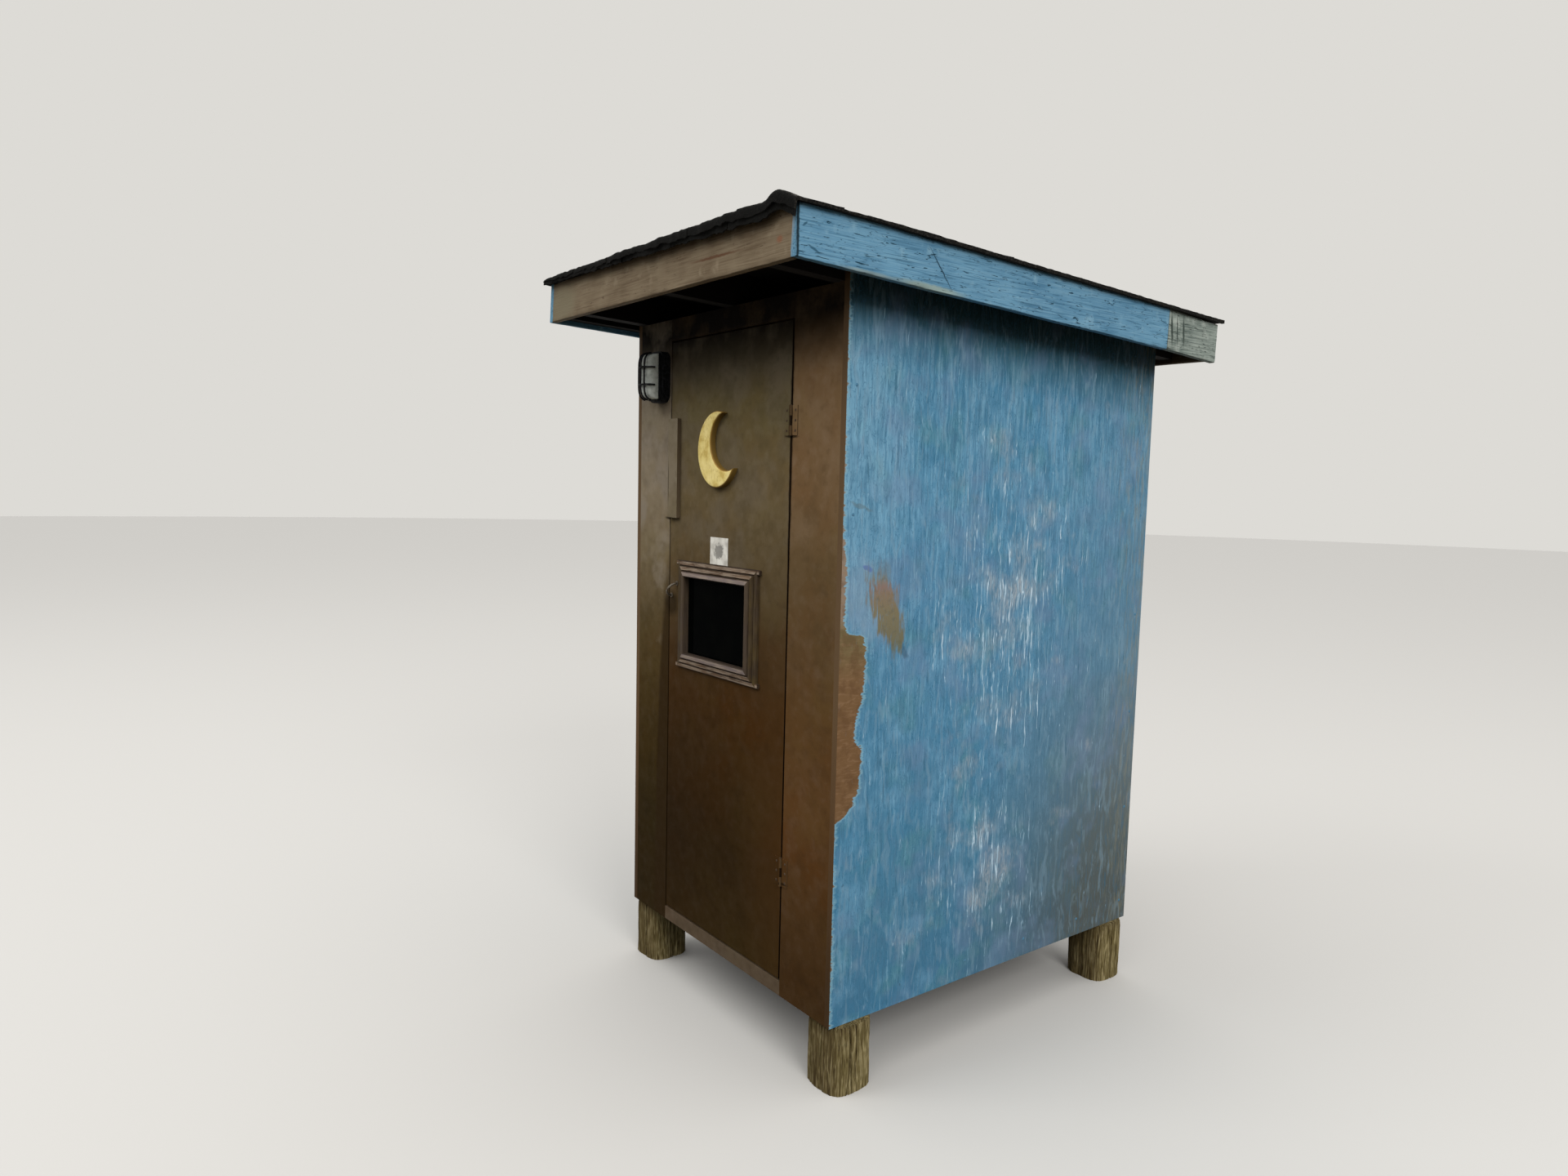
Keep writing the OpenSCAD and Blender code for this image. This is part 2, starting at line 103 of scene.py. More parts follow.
def rough(u: np.ndarray, v: np.ndarray, seed: int) -> np.ndarray:
    """Three layers of value noise, each twice as fine and half as strong as the last."""
    return sum(value_noise(u * 2**k, v * 2**k, seed + k) / 2**k for k in range(3)) / 1.75


def grid(*coordinates: Any) -> np.ndarray:
    """Points whose coordinates are numbers or arrays that broadcast with one another."""
    return np.stack(np.broadcast_arrays(*coordinates), axis=-1)


def grid_quads(rows: int, cols: int, around: bool = False) -> np.ndarray:
    """Quads between neighbouring points of a grid that is stored row by row.

    Args:
        rows: Number of rows.
        cols: Number of points in a row.
        around: Whether a row closes on itself.

    Returns:
        Array of four point numbers for each quad.
    """
    i = np.arange(rows - 1)[:, None]
    j = np.arange(cols if around else cols - 1)[None, :]
    first, second = i * cols + j, i * cols + (j + 1) % cols
    return np.stack([first, second, second + cols, first + cols], axis=-1).reshape(-1, 4)


def tube(rings: np.ndarray) -> Part:
    """Closed skin over rings of points, whose ends are drawn in to the middles of the first and last ring.

    Args:
        rings: Grid of points, one ring in each row.

    Returns:
        Points and quads.
    """
    ends = [ring[None].mean(axis=1, keepdims=True).repeat(rings.shape[1], axis=1) for ring in rings[[0, -1]]]
    rings = np.concatenate([ends[0], rings, ends[1]])
    return rings.reshape(-1, 3), grid_quads(rings.shape[0], rings.shape[1], around=True)


def slab(top: np.ndarray, bottom: np.ndarray) -> Part:
    """Closed thin piece between two grids of points with the same rim order.

    Args:
        top: Grid of points, rows by columns by 3.
        bottom: The grid below it.

    Returns:
        Points and quads: both grids, and strips that join their rims.
    """
    rows, cols = top.shape[:2]
    number = np.arange(rows * cols).reshape(rows, cols)
    rim = np.concatenate([number[0, :-1], number[:-1, -1], number[-1, :0:-1], number[:0:-1, 0]])
    following = np.roll(rim, -1)
    side = np.stack([rim, following, following + rows * cols, rim + rows * cols], axis=-1)
    faces = grid_quads(rows, cols)
    quads = np.concatenate([faces, faces[:, ::-1] + rows * cols, side])
    return np.concatenate([top.reshape(-1, 3), bottom.reshape(-1, 3)]), quads


def rounded_rectangle(width: float, height: float, radius: float, along: int) -> np.ndarray:
    """Outline of a rectangle whose corners are quarter circles and whose sides are cut in equal lengths.

    Args:
        width: Size along the first axis.
        height: Size along the second axis.
        radius: Radius of the corners.
        along: Number of points within each side.

    Returns:
        Points of the outline, two values each, anticlockwise.
    """
    quarter = np.radians(np.arange(4)[:, None] * 90 + np.linspace(0, 90, 4)[None, :])
    signs = np.array([[1, 1], [-1, 1], [-1, -1], [1, -1]])[:, None, :]
    centre = signs * np.array([width / 2 - radius, height / 2 - radius])
    corners = centre + radius * grid(np.cos(quarter), np.sin(quarter))
    share = np.linspace(0, 1, along + 2)[1:-1][None, :, None]
    sides = corners[:, -1:] * (1 - share) + np.roll(corners, -1, axis=0)[:, :1] * share
    return np.concatenate([corners, sides], axis=1).reshape(-1, 2)


def build_piece(name: str, parts: list[Part], material: bpy.types.Material, body: Body,
                replaces: tuple[str, ...] = (), sharp: float = 38.0) -> None:
    """Makes one object of closed parts, with faces outwards, and ties it to the frame.

    Args:
        name: Name of the piece.
        parts: Points and quads of each closed part, in the row frame.
        material: Finish of the piece.
        body: Body that it rides on.
        replaces: Names of the nodes that it stands for.
        sharp: Angle between faces, in degrees, from which an edge stays crisp.
    """
    starts = np.cumsum([0] + [len(part[0]) for part in parts[:-1]])
    points = np.concatenate([part[0] for part in parts])
    quads = np.concatenate([part[1] + start for part, start in zip(parts, starts)])
    mesh = bpy.data.meshes.new(name)
    mesh.from_pydata(points.tolist(), [], quads.tolist())
    shell = bmesh.new()
    shell.from_mesh(mesh)
    bmesh.ops.remove_doubles(shell, verts=shell.verts, dist=1e-6)
    bmesh.ops.dissolve_degenerate(shell, edges=shell.edges, dist=1e-7)
    bmesh.ops.recalc_face_normals(shell, faces=shell.faces)
    shell.to_mesh(mesh)
    shell.free()
    mesh.polygons.foreach_set("use_smooth", np.ones(len(mesh.polygons), dtype=bool))
    mesh.set_sharp_from_angle(angle=math.radians(sharp))
    mesh.materials.append(material)
    piece = bpy.data.objects.new(name, mesh)
    bpy.context.scene.collection.objects.link(piece)
    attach(piece, body.value)
    if replaces:
        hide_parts(*replaces)
    log.info("%s: %d faces on %s", name, len(mesh.polygons), body.value)


def dress(material: bpy.types.Material, *nodes: str) -> None:
    """Gives nodes of the frame a finish in all their material slots.

    Args:
        material: The finish.
        *nodes: Names of the nodes.
    """
    for name in nodes:
        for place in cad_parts[name].material_slots:
            place.material = material
    log.info("%s on %s", material.name, ", ".join(nodes))


# Finishes


def linear(colour: str) -> tuple[float, float, float, float]:
    """Linear red, green, blue and alpha of an sRGB colour that is written as #rrggbb."""
    shares = [int(colour[i:i + 2], 16) / 255 for i in (1, 3, 5)]
    return (*(s / 12.92 if s <= 0.04045 else ((s + 0.055) / 1.055) ** 2.4 for s in shares), 1.0)


class Shading:
    """Tree of shader nodes, emptied and then filled again."""

    def __init__(self, tree: bpy.types.NodeTree) -> None:
        """Empties the tree that it fills."""
        self.tree = tree
        self.tree.nodes.clear()

    def add(self, kind: str, inputs: dict | tuple = (), out: int | str = 0, **settings: Any) -> Any:
        """Adds a node with its settings, values and links.

        Args:
            kind: Blender's name of the node type without its ShaderNode, then of its operation if it has one.
            inputs: Values or sockets by input, or in the inputs' order. Text is a colour, None is left alone.
            out: Output to hand back.
            **settings: Attributes of the node, with stops for a colour ramp and curve for a float curve.

        Returns:
            The output socket, or None for a node without outputs.
        """
        kind, *operation = kind.split()
        node = self.tree.nodes.new(f"ShaderNode{kind}")
        if operation:
            node.operation = operation[0]
        stops, curve = settings.pop("stops", ()), settings.pop("curve", ())
        for key, value in settings.items():
            setattr(node, key, value)
        for k, (position, colour) in enumerate(stops):
            stop = node.color_ramp.elements[k] if k < 2 else node.color_ramp.elements.new(position)
            stop.position, stop.color = position, linear(colour)
        for k, place in enumerate(curve):
            points = node.mapping.curves[0].points
            if k < 2:
                points[k].location = place
            else:
                points.new(*place)
        if curve:
            node.mapping.update()
        for key, value in inputs.items() if isinstance(inputs, dict) else enumerate(inputs):
            if isinstance(value, bpy.types.NodeSocket):
                self.tree.links.new(value, node.inputs[key])
            elif value is not None:
                node.inputs[key].default_value = linear(value) if isinstance(value, str) else value
        return node.outputs[out] if node.outputs else None


class Recipe(Shading):
    """Node tree of one material on Object coordinates, in metres of the row frame."""

    def __init__(self, name: str) -> None:
        """Starts an empty tree.

        Args:
            name: Name of the material.
        """
        self.material = bpy.data.materials.new(name)
        self.material.use_nodes = True
        super().__init__(self.material.node_tree)
        self.place = self.add("TexCoord", out="Object")

    def coats(self, tone: Any, *rows: tuple[Any, float, float, float, Any]) -> Any:
        """Lays coats of colour one over the other, each where its field passes from one value to another.

        Args:
            tone: Colour below.
            *rows: Field, its values where the coat begins and where it is full, its cover there, its colour.

        Returns:
            Socket of the colour.
        """
        for field, begins, full, cover, colour in rows:
            share = self.add("MapRange", (field, begins, full, 0.0, cover))
            tone = self.add("Mix", {0: share, 6: tone, 7: colour}, 2, data_type="RGBA")
        return tone

    def pushed(self, size_mm: float, reach_mm: float) -> Any:
        """Coordinates moved to and fro by noise, so that lines drawn on them sway.

        Args:
            size_mm: Size of the noise's waves.
            reach_mm: How far they push.

        Returns:
            Socket of the coordinates.
        """
        slow = self.add("TexNoise", {"Vector": self.place, "Scale": 1000 / size_mm, "Detail": 3.0}, "Color")
        offset = self.add("VectorMath SUBTRACT", (slow, (0.5, 0.5, 0.5)))
        return self.add("VectorMath MULTIPLY_ADD", (offset, (2 * reach_mm * MM,) * 3, self.place))

    def grain(self, axis: Axis, wide_mm: float, long_mm: float, detail: float = 3.0, wobble: float = 0.0,
              place: Any = None) -> Any:
        """Streaks along an axis: noise on coordinates that are finer across the axis than along it.

        Args:
            axis: Direction of the streaks.
            wide_mm: Their width.
            long_mm: Their length.
            detail: Finer layers of the noise.
            wobble: How far they bend.
            place: Coordinates to draw them on, else the plain ones.

        Returns:
            Socket of the field, about 0.5 on average.
        """
        scale = [1000 / wide_mm] * 3
        scale[axis.value] = 1000 / long_mm
        local = self.add("Mapping", {"Vector": place or self.place, "Scale": scale})
        return self.add("TexNoise", {"Vector": local, "Scale": 1.0, "Detail": detail, "Distortion": wobble})

    def cloud(self, size_mm: float, shift: float = 0.0, detail: float = 3.0) -> Any:
        """Even blotches of about one size; a shift in metres gives another field."""
        local = self.add("Mapping", {"Vector": self.place, "Location": (shift, shift, -shift)})
        return self.add("TexNoise", {"Vector": local, "Scale": 1000 / size_mm, "Detail": detail})

    def region(self, centre: Point, radii: Point, lean: Point = (0, 0, 0), place: Any = None) -> Any:
        """Soft spot that falls from 1 at its centre to 0 at the rim of an ellipsoid.

        Args:
            centre: Its middle, in metres.
            radii: Its half sizes, in metres.
            lean: Turns about the axes, in degrees.
            place: Coordinates to draw it on, else the plain ones.

        Returns:
            Socket with the strength.
        """
        turns = tuple(math.radians(a) for a in lean)
        inside = {"Vector": place or self.place, "Location": centre, "Rotation": turns, "Scale": radii}
        local = self.add("Mapping", inside, vector_type="TEXTURE")
        return self.add("TexGradient", (local,), 1, gradient_type="SPHERICAL")

    def facing(self, direction: Point) -> Any:
        """Cosine between a face's own normal and a direction: 1 where the face looks that way."""
        return self.add("VectorMath DOT_PRODUCT", (self.add("TexCoord", out="Normal"), direction), "Value")

    def bare_plywood(self, axis: Axis) -> Any:
        """Colour of unpainted plywood indoors: warm brown grey with darker figure along the face grain.

        Args:
            axis: Direction of the face grain.

        Returns:
            Socket of the colour.
        """
        figure = self.grain(axis, 50, 800, 4.0, 1.6)
        tone = self.add("ValToRGB", (figure,), stops=((0.32, "#665439"), (0.68, "#826d4d")))
        return self.coats(tone, (self.grain(axis, 4, 130), 0.35, 0.65, 0.35, "#4a3c29"))

    def skin(self, colour: Any, roughness: Any, height: Any = None, depth_mm: float = 0.3,
             others: dict[str, Any] | None = None) -> bpy.types.Material:
        """Ends the tree with one Principled shader.

        Args:
            colour: Base colour, a socket or #rrggbb.
            roughness: Roughness, a socket or a number.
            height: Socket that lifts the surface, from 0 to 1.
            depth_mm: How far a height of 1 stands proud.
            others: More inputs of the shader by name.

        Returns:
            The finished material.
        """
        # Weathered surfaces have lost their gloss, so the specular level is low unless a finish has its own
        inputs = {"Base Color": colour, "Roughness": roughness, "Specular IOR Level": 0.06, **(others or {})}
        if height is not None:
            inputs["Normal"] = self.add("Bump", {"Height": height, "Distance": depth_mm * MM})
        self.add("OutputMaterial", (self.add("BsdfPrincipled", inputs),))
        return self.material


@dataclass(frozen=True)
class BlueSheetPaint:
    """Old house paint brushed on fir plywood: chalky blue, worn to the wood, greyed towards the back."""

    outward: Point
    side: float
    front_y: float
    lapped: bool
    name: str = "blue_house_paint_on_fir_plywood"
    lap_low: float = 0.705
    lap_high: float = 1.55
    lap_width: float = 0.092

    def build(self) -> bpy.types.Material:
        """Builds the material: coat, weathering, stray paint, painted front edge and bare inner face."""
        r = Recipe(self.name)
        y, z = (r.add("SeparateXYZ", (r.place,), axis.value) for axis in (Axis.Y, Axis.Z))
        swaying = r.pushed(60, 7)
        grain = r.grain(Axis.Z, 7, 100, 4.0, 0.5, swaying)
        tone = self.coat(r, y, z, grain)
        tone, chips = self.weathering(r, tone, y, z, swaying)
        tone = self.stray_paint(r, tone, y, z) if self.lapped else tone
        inward = tuple(-v for v in self.outward)
        edge = r.add("ValToRGB", (z,), stops=((0.3, "#3c2b19"), (0.7, "#553f29"), (0.999, "#5e4a34")))
        tone = r.coats(tone, (r.facing((0, -1, 0)), 0.4, 0.6, 1.0, edge),
                       (r.facing(inward), 0.4, 0.6, 1.0, r.bare_plywood(Axis.Z)))
        lift = r.add("Math MULTIPLY_ADD", (chips, -0.7, grain))
        return r.skin(tone, r.add("MapRange", (grain, 0.3, 0.7, 0.55, 0.75)), lift, 0.6)

    def coat(self, r: Recipe, y: Any, z: Any, grain: Any) -> Any:
        """The blue coat: deepest low down, paler at the front corner, with soft pale runs under the roof and
        painted shade just below it.

        Args:
            r: The material's recipe.
            y: Coordinate from front to back.
            z: Height.
            grain: Field of the raised grain.

        Returns:
            Socket of the colour.
        """
        tone = r.add("ValToRGB", (r.add("MapRange", (z, 0.18, 1.95)),), stops=(
            (0.0, "#3c6985"), (0.17, "#47748d"), (0.4, "#4c7b97"), (0.62, "#4f7f9d"), (0.77, "#5485a1"),
            (0.9, "#4e7f9b"), (1.0, "#47778f")))
        corner = r.region((self.side, self.front_y, 1.62), (0.3, 0.30, 0.55))
        high = r.add("MapRange", (z, 1.35, 1.72))
        runs = r.add("Math MULTIPLY", (r.grain(Axis.Z, 17, 210, 3.0, 0.3), high))
        ridges = r.add("Math MULTIPLY_ADD", (z, 0.07, grain))
        # Painted shade under the roof: a dark band just below it, reaching lower towards the back
        shade = r.add("Math MULTIPLY_ADD", (y, 0.07, z))
        return r.coats(
            tone,
            (r.cloud(210), 0.46, 0.64, 0.5, "#427a99"),
            (r.cloud(130, 0.8), 0.52, 0.66, 0.55, "#4f7f88"),
            (corner, 0.1, 0.8, 0.55, "#7da6bb"),
            (r.cloud(70, 1.7, 4.0), 0.50, 0.66, 0.45, "#6a97b2"),
            (r.cloud(55, 2.9, 4.0), 0.50, 0.66, 0.45, "#3f6f8b"),
            (runs, 0.54, 0.74, 0.34, "#86adbf"),
            (grain, 0.47, 0.33, 0.50, "#396883"),
            (ridges, 0.62, 0.78, 0.50, "#7ba7bf"),
            (shade, 1.79, 1.945, 0.88, "#10241f"))

    def weathering(self, r: Recipe, tone: Any, y: Any, z: Any, swaying: Any) -> tuple[Any, Any]:
        """Grey bloom towards the back, bare wood in patches, pale slivers and dark slits along the grain.

        Args:
            r: The material's recipe.
            tone: Colour so far.
            y: Coordinate from front to back.
            z: Height.
            swaying: Coordinates that sway.

        Returns:
            Sockets of the colour and of the chips' mask.
        """
        leaning = r.add("Math MULTIPLY_ADD", (z, -0.22, y))
        low_down = r.add("MapRange", (z, 1.9, 0.5, 0.2, 1.0))
        back = r.add("Math MULTIPLY", (r.add("MapRange", (leaning, -0.24, 0.40)), low_down))
        bloom = r.add("ValToRGB", (z,), stops=(
            (0.28, "#4d4f48"), (0.5, "#545b59"), (0.7, "#5d676a"), (0.95, "#617179"), (0.999, "#5f7886")))
        lower = r.add("Math MULTIPLY", (r.region((self.side, -0.02, 0.52), (0.5, 0.36, 0.50)), 0.78))
        worn = r.add("Math MAXIMUM", (r.region((self.side, 0.05, 1.22), (0.5, 0.40, 0.60)), lower))
        clumps = r.cloud(110, 0.4, 4.0)
        streaks = r.grain(Axis.Z, 22, 90, 4.0, 1.0, swaying)
        patches = r.add("Math MULTIPLY_ADD", (worn, 0.34, clumps))
        scales = r.grain(Axis.Z, 12, 34, 3.0, 1.2, swaying)
        wood = r.add("ValToRGB", (scales,), stops=((0.36, "#5f7786"), (0.5, "#828e97"), (0.64, "#a2a5a5")))
        slivers = r.add("Math MULTIPLY_ADD", (worn, 0.19, r.grain(Axis.Z, 7, 90, 2.0, 0.9, swaying)))
        slivers = r.add("Math MULTIPLY_ADD", (clumps, 0.24, slivers))
        pale = r.add("ValToRGB", (slivers,), stops=((0.84, "#84a8be"), (0.92, "#adc6d4"), (0.999, "#d2e0e8")))
        back_edge = r.add("MapRange", (y, 0.40, 0.66))
        edge = r.add("Math MULTIPLY_ADD", (back_edge, 0.35, r.grain(Axis.Z, 9, 60, 3.0, 0.6, swaying)))
        middle = r.add("Math ADD", (r.grain(Axis.Z, 15, 42, 4.0, 1.3, swaying), -0.5))
        wrinkles = r.add("Math ABSOLUTE", (middle,))
        tone = r.coats(
            tone,
            (wrinkles, 0.026, 0.008, 0.5, "#31607a"),
            (back, 0.05, 0.95, 0.92, bloom),
            (r.cloud(110, 2.3), 0.52, 0.68, 0.35, "#6b7d98"),
            (streaks, 0.52, 0.68, 0.40, "#7792a2"),
            (streaks, 0.46, 0.32, 0.35, "#47697f"),
            (patches, 0.68, 0.92, 0.7, wood),
            (slivers, 0.81, 0.92, 0.8, pale),
            (r.grain(Axis.Z, 6, 70, 3.0, 0.9), 0.39, 0.30, 0.55, "#335c72"),
            (edge, 0.74, 0.96, 0.4, "#7d7a68"))
        return tone, r.add("MapRange", (slivers, 0.81, 0.92))

    def stray_paint(self, r: Recipe, tone: Any, y: Any, z: Any) -> Any:
        """Brown paint that laps round the front corner, a loose dab of it, and the pale film beside both.

        Args:
            r: The material's recipe.
            tone: Colour so far.
            y: Coordinate from front to back.
            z: Height.

        Returns:
            Socket of the colour.
        """
        up_lap = r.add("MapRange", (z, self.lap_low, self.lap_high))
        # Width of the lap as a share of its widest, by height: a tongue, a torn step and a thin fringe above
        reach = (
            (0.0, 0.0), (1.0, 0.0), (0.015, 0.30), (0.06, 0.66), (0.16, 0.85), (0.215, 0.82), (0.235, 0.62),
            (0.29, 0.62), (0.36, 0.84), (0.53, 0.90), (0.552, 0.34), (0.60, 0.16), (0.74, 0.17), (0.85, 0.04))
        width = r.add("FloatCurve", {"Value": up_lap}, curve=reach)
        width = r.add("Math MULTIPLY_ADD", (width, self.lap_width, self.front_y - 0.024))
        brushed, ragged = r.grain(Axis.Y, 7, 30, 4.0, 0.8), r.grain(Axis.Y, 11, 24, 4.0, 0.5)
        for field, share in ((brushed, 0.020), (ragged, 0.028)):
            width = r.add("Math MULTIPLY_ADD", (field, share, width))
        past = r.add("Math SUBTRACT", (width, y))
        lap = r.add("ValToRGB", (up_lap,), stops=(
            (0.0, "#6a5036"), (0.25, "#6a4f34"), (0.42, "#6e5439"), (0.56, "#6a6042"), (0.6, "#82705f"),
            (1.0, "#84796c")))
        lap = r.coats(lap, (brushed, 0.50, 0.66, 0.35, "#8a6d52"),
                      (r.cloud(34, 0.9, 5.0), 0.46, 0.62, 0.45, "#553c26"))
        uneven = r.pushed(40, 16)
        dab = r.region((self.side, -0.410, 1.222), (0.2, 0.064, 0.165), (24, 0, 0), uneven)
        dab = r.add("Math MULTIPLY_ADD", (r.grain(Axis.Z, 7, 45, 4.0, 0.5), 1.1, dab))
        dabbed = r.add("ValToRGB", (r.add("MapRange", (z, 1.10, 1.34)),), stops=(
            (0.0, "#56604f"), (0.2, "#6a6348"), (0.5, "#75694b"), (0.68, "#7c6850"), (0.76, "#80675a"),
            (0.86, "#73756c"), (1.0, "#5c7488")))
        dabbed = r.coats(dabbed, (r.grain(Axis.Z, 9, 60, 4.0, 1.7, uneven), 0.56, 0.70, 0.5, "#5f7884"),
                         (r.cloud(16, 1.1, 4.0), 0.52, 0.66, 0.5, "#5c5744"))
        # Short strokes beside the dab: place, half sizes across and up, lean, cover and colour
        strokes = (
            ((-0.475, 1.330), (0.024, 0.009), -20, 0.7, "#4f629a"),
            ((-0.420, 1.322), (0.022, 0.030), 0, 0.5, "#5d6f78"),
            ((-0.350, 1.122), (0.012, 0.036), 24, 0.7, "#3a5a70"),
            ((-0.505, 1.478), (0.050, 0.007), -12, 0.6, "#5b7077"))
        beside = [(r.region((self.side, *place), (0.2, *half), (lean, 0, 0), uneven), 0.1, 0.5, cover, colour)
                  for place, half, lean, cover, colour in strokes]
        film = r.region((self.side, -0.475, 1.25), (0.2, 0.12, 0.19), (22, 0, 0), uneven)
        film = r.add("Math MULTIPLY_ADD", (r.cloud(24, 0.7, 4.0), 0.5, film))
        return r.coats(
            tone,
            (film, 0.48, 0.90, 0.45, "#8094a6"),
            (past, -0.010, -0.003, 0.6, "#7fa6b3"),
            (past, -0.001, 0.003, 1.0, lap),
            *beside,
            (dab, 0.72, 0.90, 0.5, "#66757f"),
            (dab, 0.82, 1.02, 0.92, dabbed))


@dataclass(frozen=True)
class BrownSheetPaint:
    """Brown latex house paint rolled on plywood: flat, greyed by rain high up and darker low down, partly
    from damp and partly as painted shade.

    A tone is a height and a colour. A mark is a centre, half sizes, the strength where it is full, its
    cover and its colour. An edge is the cover and the colour of the sheet's left or right side.
    """

    name: str
    inward: Point
    tones: tuple[tuple[float, str], ...]
    washed: str = "#6b6152"
    washing: float = 0.4
    edges: tuple[tuple[float, str], tuple[float, str]] = ((1.0, "#4a3b29"), (1.0, "#4a3b29"))
    marks: tuple[tuple[Point, Point, float, float, str], ...] = ()
    low: float = 0.18
    high: float = 2.0

    def build(self) -> bpy.types.Material:
        """Builds the material: tone by height, washed clouds high up, blotches, marks and bare inner face."""
        r = Recipe(self.name)
        z = r.add("SeparateXYZ", (r.place,), Axis.Z.value)
        stops = tuple(((height - self.low) / (self.high - self.low), colour) for height, colour in self.tones)
        tone = r.add("ValToRGB", (r.add("MapRange", (z, self.low, self.high)),), stops=stops)
        rain = r.add("Math MULTIPLY", (r.cloud(120, 0.0, 4.0), r.add("MapRange", (z, 0.9, 1.45, 0.55, 1.0))))
        mottle = r.cloud(26, 0.4, 4.0)
        darker, warmer, greener, lighter = (r.add("HueSaturation", {**change, "Color": tone}) for change in (
            {"Value": 0.72}, {"Hue": 0.494, "Saturation": 1.06}, {"Hue": 0.506, "Value": 1.04},
            {"Saturation": 0.85, "Value": 1.28}))
        uneven = r.pushed(30, 4)
        marks = [(r.region(centre, radii, place=uneven), 0.0, full, cover, colour)
                 for centre, radii, full, cover, colour in self.marks]
        tone = r.coats(
            tone,
            (r.cloud(230, 1.1), 0.50, 0.64, 0.9, warmer),
            (r.cloud(200, 2.6), 0.50, 0.64, 0.9, greener),
            (rain, 0.44, 0.60, self.washing, self.washed),
            (r.cloud(60, 0.6, 4.0), 0.50, 0.68, 0.5, darker),
            (r.cloud(50, 3.3, 4.0), 0.50, 0.70, 0.4, lighter),
            (mottle, 0.55, 0.72, 0.45, darker),
            (mottle, 0.45, 0.30, 0.30, lighter),
            *marks,
            (r.facing(self.inward), 0.4, 0.6, 1.0, r.bare_plywood(Axis.Z)),
            *((r.facing((side, 0, 0)), 0.4, 0.6, *edge) for side, edge in zip((-1, 1), self.edges)))
        shine = {"Specular IOR Level": 0.02}
        return r.skin(tone, r.add("MapRange", (mottle, 0.3, 0.7, 0.55, 0.7)), mottle, 0.5, shine)


@dataclass(frozen=True)
class PaintedBoard:
    """House paint on a sawn softwood board: it cracks along the grain and wears thin at the arrises.

    A mark is a centre, half sizes, a lean in degrees and a colour.
    """

    name: str
    axis: Axis
    paint: tuple[str, str]
    crack: str
    worn: str
    cracks: float = 0.5
    wear: float = 0.4
    marks: tuple[tuple[Point, Point, Point, str], ...] = ()

    def build(self) -> bpy.types.Material:
        """Builds the material: uneven coat, long thin cracks, thin places and single marks."""
        r = Recipe(self.name)
        fine = r.grain(self.axis, 3.5, 110, 4.0, 0.6)
        split = r.grain(self.axis, 8, 50, 4.0, 2.6)
        gaps = r.add("MapRange", (split, 0.33 + 0.09 * self.cracks, 0.29 + 0.07 * self.cracks))
        thin = (r.cloud(46, 0.9, 5.0), 0.66 - 0.2 * self.wear, 0.76 - 0.1 * self.wear)
        swaying = r.pushed(12, 2.5)
        tone = r.coats(
            r.add("ValToRGB", (r.cloud(120, 0.3),), stops=((0.34, self.paint[0]), (0.66, self.paint[1]))),
            (fine, 0.42, 0.68, 0.5, self.worn),
            (fine, 0.44, 0.34, 0.4, self.crack),
            (*thin, 0.8, self.worn),
            *((r.region(*place, swaying), 0.1, 0.6, 1.0, colour) for *place, colour in self.marks),
            (gaps, 0.0, 1.0, 1.0, self.crack))
        lift = r.add("Math MULTIPLY_ADD", (gaps, -0.8, fine))
        return r.skin(tone, r.add("MapRange", (fine, 0.3, 0.7, 0.55, 0.78)), lift, 0.8)


@dataclass(frozen=True)
class SawnTimber:
    """Construction softwood, sawn and left bare for years: brown grey with darker growth lines."""

    name: str
    axis: Axis
    light: str = "#5a4932"
    dark: str = "#32261a"

    def build(self) -> bpy.types.Material:
        """Builds the material: growth lines and fine saw fuzz."""
        r = Recipe(self.name)
        lines = r.grain(self.axis, 11, 700, 3.0, 1.0)
        tone = r.add("ValToRGB", (lines,), stops=((0.36, self.dark), (0.62, self.light)))
        tone = r.coats(tone, (r.grain(self.axis, 2.5, 22), 0.45, 0.7, 0.35, self.dark))
        return r.skin(tone, 0.8, lines, 0.5)


@dataclass(frozen=True)
class WeatheredLog:
    """Fir post that has stood in wet ground: olive straw fibres, split here and there, its top and front
    darkened as painted shade.
    """

    name: str = "weathered_fir_post"

    def build(self) -> bpy.types.Material:
        """Builds the material: fibres, splits, painted shade under the wall and painted shade on the front.
        """
        r = Recipe(self.name)
        fibre, split = r.grain(Axis.Z, 5, 60, 4.0, 0.8), r.grain(Axis.Z, 10, 120, 4.0, 1.2)
        tone = r.coats(
            r.add("ValToRGB", (fibre,), stops=((0.32, "#3d3219"), (0.48, "#6e6240"), (0.66, "#9a8d68"))),
            (r.cloud(40, 0.2), 0.45, 0.65, 0.5, "#564b2b"),
            (split, 0.42, 0.34, 0.6, "#241b0d"),
            # Painted shade: darker at the top, under the wall, and on the faces towards the front
            (r.add("SeparateXYZ", (r.place,), Axis.Z.value), 0.14, 0.18, 0.45, "#2c2114"),
            (r.facing((0, -1, 0)), 0.2, 1.0, 0.5, "#3a2c1b"))
        return r.skin(tone, 0.9, r.add("Math MULTIPLY_ADD", (split, 1.2, fibre)), 1.6)


